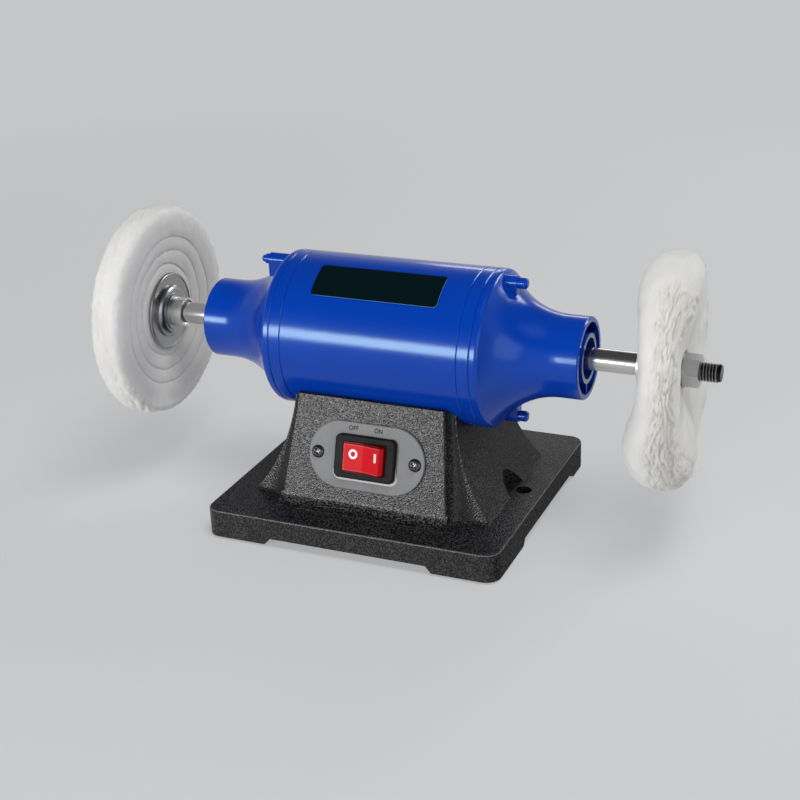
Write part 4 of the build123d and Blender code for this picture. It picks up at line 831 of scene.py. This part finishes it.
# a ridge wound along a core that ends in a chamfer
def makeThreads():
    size = spindleSizes
    start, end, root, pitch = size["shoulder"] - size["overlap"], size["end"], size["root"], size["pitch"]
    edgeLong, edgeDeep = size["endEdge"]
    core = [(start, 0.0), (start, root), (end - edgeLong, root), (end, root - edgeDeep), (end, 0.0)]
    foot, crest = root - size["foot"], size["thread"]
    ridge = [(0.0, foot), (size["crest"][0], crest), (size["crest"][1], crest), (1.0, foot)]
    turns = int((end - size["runOut"] - size["shoulder"]) / pitch) - 1
    first = end - size["runOut"] - (turns + 1) * pitch
    winding = {"cent": (0, 0, axisZ), "axis": acrossX, "angle": tau * turns, "steps": size["turnSteps"] * turns}
    form = bmesh.new()
    for way in (1, -1):
        absorb(form, closeForm(turned(core, size["steps"], way)))
        coil = bmesh.new()
        places = [(way * (first + share * pitch) * mm, 0, axisZ + radius * mm) for share, radius in ridge]
        ring, edges = joinedRing(coil, places)
        step = (way * pitch * mm / size["turnSteps"], 0, 0)
        bmesh.ops.spin(coil, geom=ring + edges, dvec=step, **winding)
        bmesh.ops.holes_fill(coil, edges=[edge for edge in coil.edges if edge.is_boundary])
        bmesh.ops.recalc_face_normals(coil, faces=coil.faces)
        absorb(form, coil)
    return finished("spindleThreads", form, "spindle", "steel_dark", angle=30, finish=threadSteel)


# bare machined rings on the ends of the bearing hubs
hubEnd = {"reach": 136.0, "inner": 13.85, "outer": 16.65, "proud": 0.05, "sunk": 0.6, "steps": 128}


def makeHubEnds():
    size = hubEnd
    form = bmesh.new()
    near, far = size["reach"] - size["sunk"], size["reach"] + size["proud"]
    section = [(near, size["inner"]), (far, size["inner"]), (far, size["outer"]), (near, size["outer"])]
    for way in (-1, 1):
        absorb(form, closeForm(turned(section, size["steps"], way)))
    return finished("hubEnds", form, "base", "steel_grey", angle=30)


makeSpindle()
makeThreads()
makeHubEnds()
print("spindle made")

# switch: its place comes from the rocker's hinge, which lies in the slope
rockerTilt = joints["rocker_tilt"]
slopeUp = Vector(rockerTilt["axis"]).normalized()
slopeOut = acrossX.cross(slopeUp)
switchSizes = {
    "plateFace": -1.0, "ringAt": -7.8, "ringRadii": (3.3, 1.75), "ringSteps": 48, "barAt": 9.8,
    "barHalf": (0.95, 3.0), "markUp": 2.2, "dropFrom": 20.0, "markGap": 0.04, "markDepth": 0.12,
    "printUp": 19.2, "printDepth": 0.1, "offAt": -10.4, "offSize": (7.0, 3.2), "onAt": 7.6, "onSize": (5.7, 3.2),
}


def onSlope(across, up, out):
    place = Matrix((acrossX, slopeUp, slopeOut)).transposed().to_4x4()
    shift = acrossX * across + slopeUp * up + slopeOut * out
    place.translation = Vector(rockerTilt["pos_m"]) + shift * mm
    return place


# flat marks let down onto the rocker along the switch's own axis
def makeRockerMarks():
    size = switchSizes
    form = bmesh.new()
    circles = {"segments": size["ringSteps"], "cap_ends": False}
    rims = []
    for radius in size["ringRadii"]:
        made = bmesh.ops.create_circle(form, radius=radius * mm, **circles)["verts"]
        rims += list({edge for vert in made for edge in vert.link_edges})
    bmesh.ops.bridge_loops(form, edges=rims)
    bmesh.ops.translate(form, verts=form.verts, vec=(size["ringAt"] * mm, 0, 0))
    bar = bmesh.new()
    bmesh.ops.create_grid(bar, x_segments=2, y_segments=6, size=1.0)
    bmesh.ops.scale(bar, verts=bar.verts, vec=(size["barHalf"][0] * mm, size["barHalf"][1] * mm, 1))
    bmesh.ops.translate(bar, verts=bar.verts, vec=(size["barAt"] * mm, 0, 0))
    absorb(form, bar)
    bmesh.ops.transform(form, matrix=onSlope(0, size["markUp"], size["dropFrom"]), verts=form.verts)
    shell = copied("rocker")
    surface = BVHTree.FromBMesh(shell)
    for vert in form.verts:
        vert.co = surface.ray_cast(vert.co, -slopeOut)[0] + slopeOut * size["markGap"] * mm
    shell.free()
    bmesh.ops.recalc_face_normals(form, faces=form.faces)
    bmesh.ops.solidify(form, geom=form.faces[:], thickness=size["markDepth"] * mm)
    bmesh.ops.recalc_face_normals(form, faces=form.faces)
    return finished("rockerMarks", form, "rocker", "rocker_red", finish=markWhite)


def makePrint(name, words, across, box):
    letters = bpy.data.curves.new(name, "FONT")
    letters.body, letters.align_x, letters.align_y = words, "CENTER", "CENTER"
    letters.extrude, letters.offset = 0.02, 0.014
    form = closeForm(curveForm(name, letters))
    low = Vector([min(vert.co[axis] for vert in form.verts) for axis in range(3)])
    high = Vector([max(vert.co[axis] for vert in form.verts) for axis in range(3)])
    bmesh.ops.translate(form, verts=form.verts, vec=-(low + high) / 2)
    shares = [size * mm / wide for size, wide in zip((*box, switchSizes["printDepth"]), high - low)]
    bmesh.ops.scale(form, verts=form.verts, vec=shares)
    place = onSlope(across, switchSizes["printUp"], switchSizes["plateFace"])
    bmesh.ops.transform(form, matrix=place, verts=form.verts)
    return finished(name, form, "base", "switch_grey", finish=printDark)


# pale strip that shows under the lower edge of the bezel: a painted highlight
highlightStripSizes = {
    "half": (21.85, 14.9), "corner": 4.0, "cornerStep": 10, "legTop": -4.0, "legStep": 0.6, "legRows": 12,
    "wide": 1.7, "least": 0.05, "under": 0.6, "proud": 0.15, "sunk": 0.3, "fade": (-5.0, -12.5),
}


def makeBezelHighlight():
    size = highlightStripSizes
    (halfAcross, halfUp), corner = size["half"], size["corner"]
    leg = [size["legTop"] - size["legStep"] * k for k in range(size["legRows"])]
    path = [(-halfAcross, up, -1.0, 0.0) for up in leg]
    for way in (-1, 1):
        for turn in range(0, 91, size["cornerStep"])[::-way]:
            out = (way * cos(radians(turn)), -sin(radians(turn)))
            across = way * (halfAcross - corner) + out[0] * corner
            path.append((across, -(halfUp - corner) + out[1] * corner, *out))
    path += [(halfAcross, up, 1.0, 0.0) for up in leg[::-1]]
    low, high, under = -size["sunk"], size["proud"], -size["under"]
    form = bmesh.new()
    rows = []
    for across, up, outAcross, outUp in path:
        wide = size["wide"] * smoothStep(*size["fade"], up) + size["least"]
        row = []
        for r, h in ((under, low), (under, high), (wide, high), (wide, low)):
            row.append(form.verts.new(((across + outAcross * r) * mm, (up + outUp * r) * mm, h * mm)))
        rows.append(row)
    for first, second in zip(rows, rows[1:]):
        for k in range(4):
            form.faces.new((first[k], first[(k + 1) % 4], second[(k + 1) % 4], second[k]))
    form.faces.new(rows[0])
    form.faces.new(rows[-1])
    closeForm(form)
    bmesh.ops.transform(form, matrix=onSlope(0, 0, switchSizes["plateFace"]), verts=form.verts)
    return finished("bezelHighlight", form, "base", "plastic_white", finish=highlightPale)


# pan head screws with a cross recess
screwSizes = {
    "at": 35.3, "radius": 4.5, "height": 2.3, "dome": 2.6, "shank": 2.0, "depth": 6.5, "tip": 1.2,
    "slot": (0.75, 0.45), "slotEnd": (2.7, 1.6), "slotDepth": 1.5, "turns": (24, 52), "rows": 30, "steps": 96,
}


def makePlateScrews():
    size = screwSizes
    outline = []
    for k in range(size["rows"] + 1):
        r = size["radius"] * k / size["rows"]
        outline.append((r, size["height"] * (1 - (r / size["radius"]) ** size["dome"]) ** 0.5))
    outline += [(size["shank"], 0.0), (size["shank"], -size["depth"]), (0.0, -size["depth"] - size["tip"])]
    form = bmesh.new()
    for way, angle in zip((-1, 1), size["turns"]):
        screw = bmesh.new()
        line = [screw.verts.new((r * mm, 0, z * mm)) for r, z in outline]
        edges = [screw.edges.new(pair) for pair in zip(line, line[1:])]
        bmesh.ops.spin(screw, geom=line + edges, axis=(0, 0, 1), angle=tau, steps=size["steps"], use_merge=True)
        closeForm(screw)
        for vert in screw.verts:
            if vert.co.z > 0:
                x, y = abs(vert.co.x) / mm, abs(vert.co.y) / mm
                arm = max(smoothStep(*size["slot"], y), smoothStep(*size["slot"], x))
                reach = smoothStep(*size["slotEnd"], sqrt(x * x + y * y))
                vert.co.z -= arm * reach * size["slotDepth"] * mm
        place = onSlope(way * size["at"], 0, switchSizes["plateFace"])
        turn = Matrix.Rotation(radians(angle), 4, "Z")
        bmesh.ops.transform(screw, matrix=place @ turn, verts=screw.verts)
        absorb(form, screw)
    return finished("plateScrews", form, "base", "steel_dark", ("switch_plate_screws",), 40)


makeRockerMarks()
makePrint("offPrint", "OFF", switchSizes["offAt"], switchSizes["offSize"])
makePrint("onPrint", "ON", switchSizes["onAt"], switchSizes["onSize"])
makeBezelHighlight()
makePlateScrews()
print("switch marks and screws made")

# camera at the photograph's angle, from a fit of the machine's outlines
cameraPlace = {
    "position": (0.39353, -0.89522, 0.48686), "target": (0.000486, 0.0, 0.076243),
    "roll": -0.037, "lens": 68.55, "sensor": 36.0,
}


def placeCamera():
    lens = bpy.data.cameras.new("photoCamera")
    lens.lens, lens.sensor_width = cameraPlace["lens"], cameraPlace["sensor"]
    camera = bpy.data.objects.new("photoCamera", lens)
    scene.collection.objects.link(camera)
    forward = (Vector(cameraPlace["target"]) - Vector(cameraPlace["position"])).normalized()
    level = forward.cross(Vector((0, 0, 1))).normalized()
    upright = level.cross(forward)
    turn = cameraPlace["roll"]
    right = cos(turn) * level + sin(turn) * upright
    up = -sin(turn) * level + cos(turn) * upright
    facing = Matrix((right, up, -forward)).transposed().to_4x4()
    camera.matrix_world = Matrix.Translation(cameraPlace["position"]) @ facing
    scene.camera = camera


placeCamera()

# soft studio light; the lamp overhead isn't mirrored
lamps = {
    "frontBox": {"at": (-0.82, -1.80, 0.40), "to": (0, 0, 0.10), "size": (0.95, 0.42), "power": 20.0},
    "topBox": {"at": (0.90, 1.35, 1.00), "to": (0, 0, 0.10), "size": (0.7, 0.5), "power": 8.0},
    "highBox": {"at": (0.62, -0.42, 1.90), "to": (0, 0, 0.10), "size": (1.0, 1.0), "power": 19.0, "shines": False},
    "backStrip": {"at": (-0.20, 1.48, 0.60), "to": (0, 0, 0.12), "size": (0.7, 0.22), "power": 1.4},
    "sideFill": {"at": (2.6, -1.75, 0.85), "to": (0, 0, 0.10), "size": (2.2, 1.8), "power": 13.0},
}
paleTone = {
    "floor": rgb(0.82, 0.825, 0.83), "seen": rgb(0.565, 0.57, 0.58), "sky": 0.2, "floorHalf": 9.0,
    # start and end of a fade, and the strength at both
    "ceiling": (0.25, 0.65, 1.0, 0.12), "evenFloor": (0.35, 1.5, 0.6, 1.0),
}


# rays that show the backdrop itself
def seenRays(tree):
    path = tree.nodes.new("ShaderNodeLightPath")
    kinds = ("Is Camera Ray", "Is Glossy Ray", "Is Transmission Ray")
    direct, mirrored, clear = [Wire(tree, path.outputs[kind]) for kind in kinds]
    return direct + mirrored + clear


def placeLamps():
    for name, lamp in lamps.items():
        light = bpy.data.lights.new(name, "AREA")
        light.shape = "RECTANGLE"
        light.size, light.size_y = lamp["size"]
        light.energy = lamp["power"]
        stand = bpy.data.objects.new(name, light)
        stand.visible_glossy = lamp.get("shines", True)
        scene.collection.objects.link(stand)
        aim = Vector(lamp["to"]) - Vector(lamp["at"])
        facing = aim.to_track_quat("-Z", "Y").to_matrix().to_4x4()
        stand.matrix_world = Matrix.Translation(lamp["at"]) @ facing
    world = bpy.data.worlds.new("studio")
    world.use_nodes = True
    tree = world.node_tree
    sky = tree.nodes["Background"]
    sky.inputs["Color"].default_value = paleTone["seen"]
    # the backdrop ends in a dark ceiling
    way = tree.nodes.new("ShaderNodeSeparateXYZ")
    tree.links.new(tree.nodes.new("ShaderNodeTexCoord").outputs["Generated"], way.inputs[0])
    fade = tree.nodes.new("ShaderNodeMapRange")
    for socket, value in zip(("From Min", "From Max", "To Min", "To Max"), paleTone["ceiling"]):
        fade.inputs[socket].default_value = value
    tree.links.new(way.outputs["Z"], fade.inputs["Value"])
    strength = paleTone["sky"] + seenRays(tree) * (Wire(tree, fade.outputs[0]) - paleTone["sky"])
    plug(tree, sky.inputs["Strength"], strength)
    scene.world = world


# pale floor: near the machine it takes light and shadow, further off it keeps one even tone
def layFloor():
    form = bmesh.new()
    bmesh.ops.create_grid(form, x_segments=8, y_segments=8, size=paleTone["floorHalf"])
    mesh = bpy.data.meshes.new("floor")
    form.to_mesh(mesh)
    form.free()
    floor = bpy.data.objects.new("floor", mesh)
    scene.collection.objects.link(floor)
    paper = Finish("paleFloor", Specular_IOR_Level=0.1, Roughness=0.9)
    paper.feed(Base_Color=paleTone["floor"])
    x, y, z = paper.parts(paper.place())
    far = paper.level((x * x + y * y) ** 0.5, *paleTone["evenFloor"])
    glow = paper.node("Emission", inputs={"Color": paleTone["seen"], "Strength": 1.0})
    paper.cover(far * seenRays(paper.tree), paper.ownShader(), glow)
    mesh.materials.append(paper.material)


placeLamps()
layFloor()
scene.view_settings.view_transform = "Standard"
print("camera, lamps and floor placed")
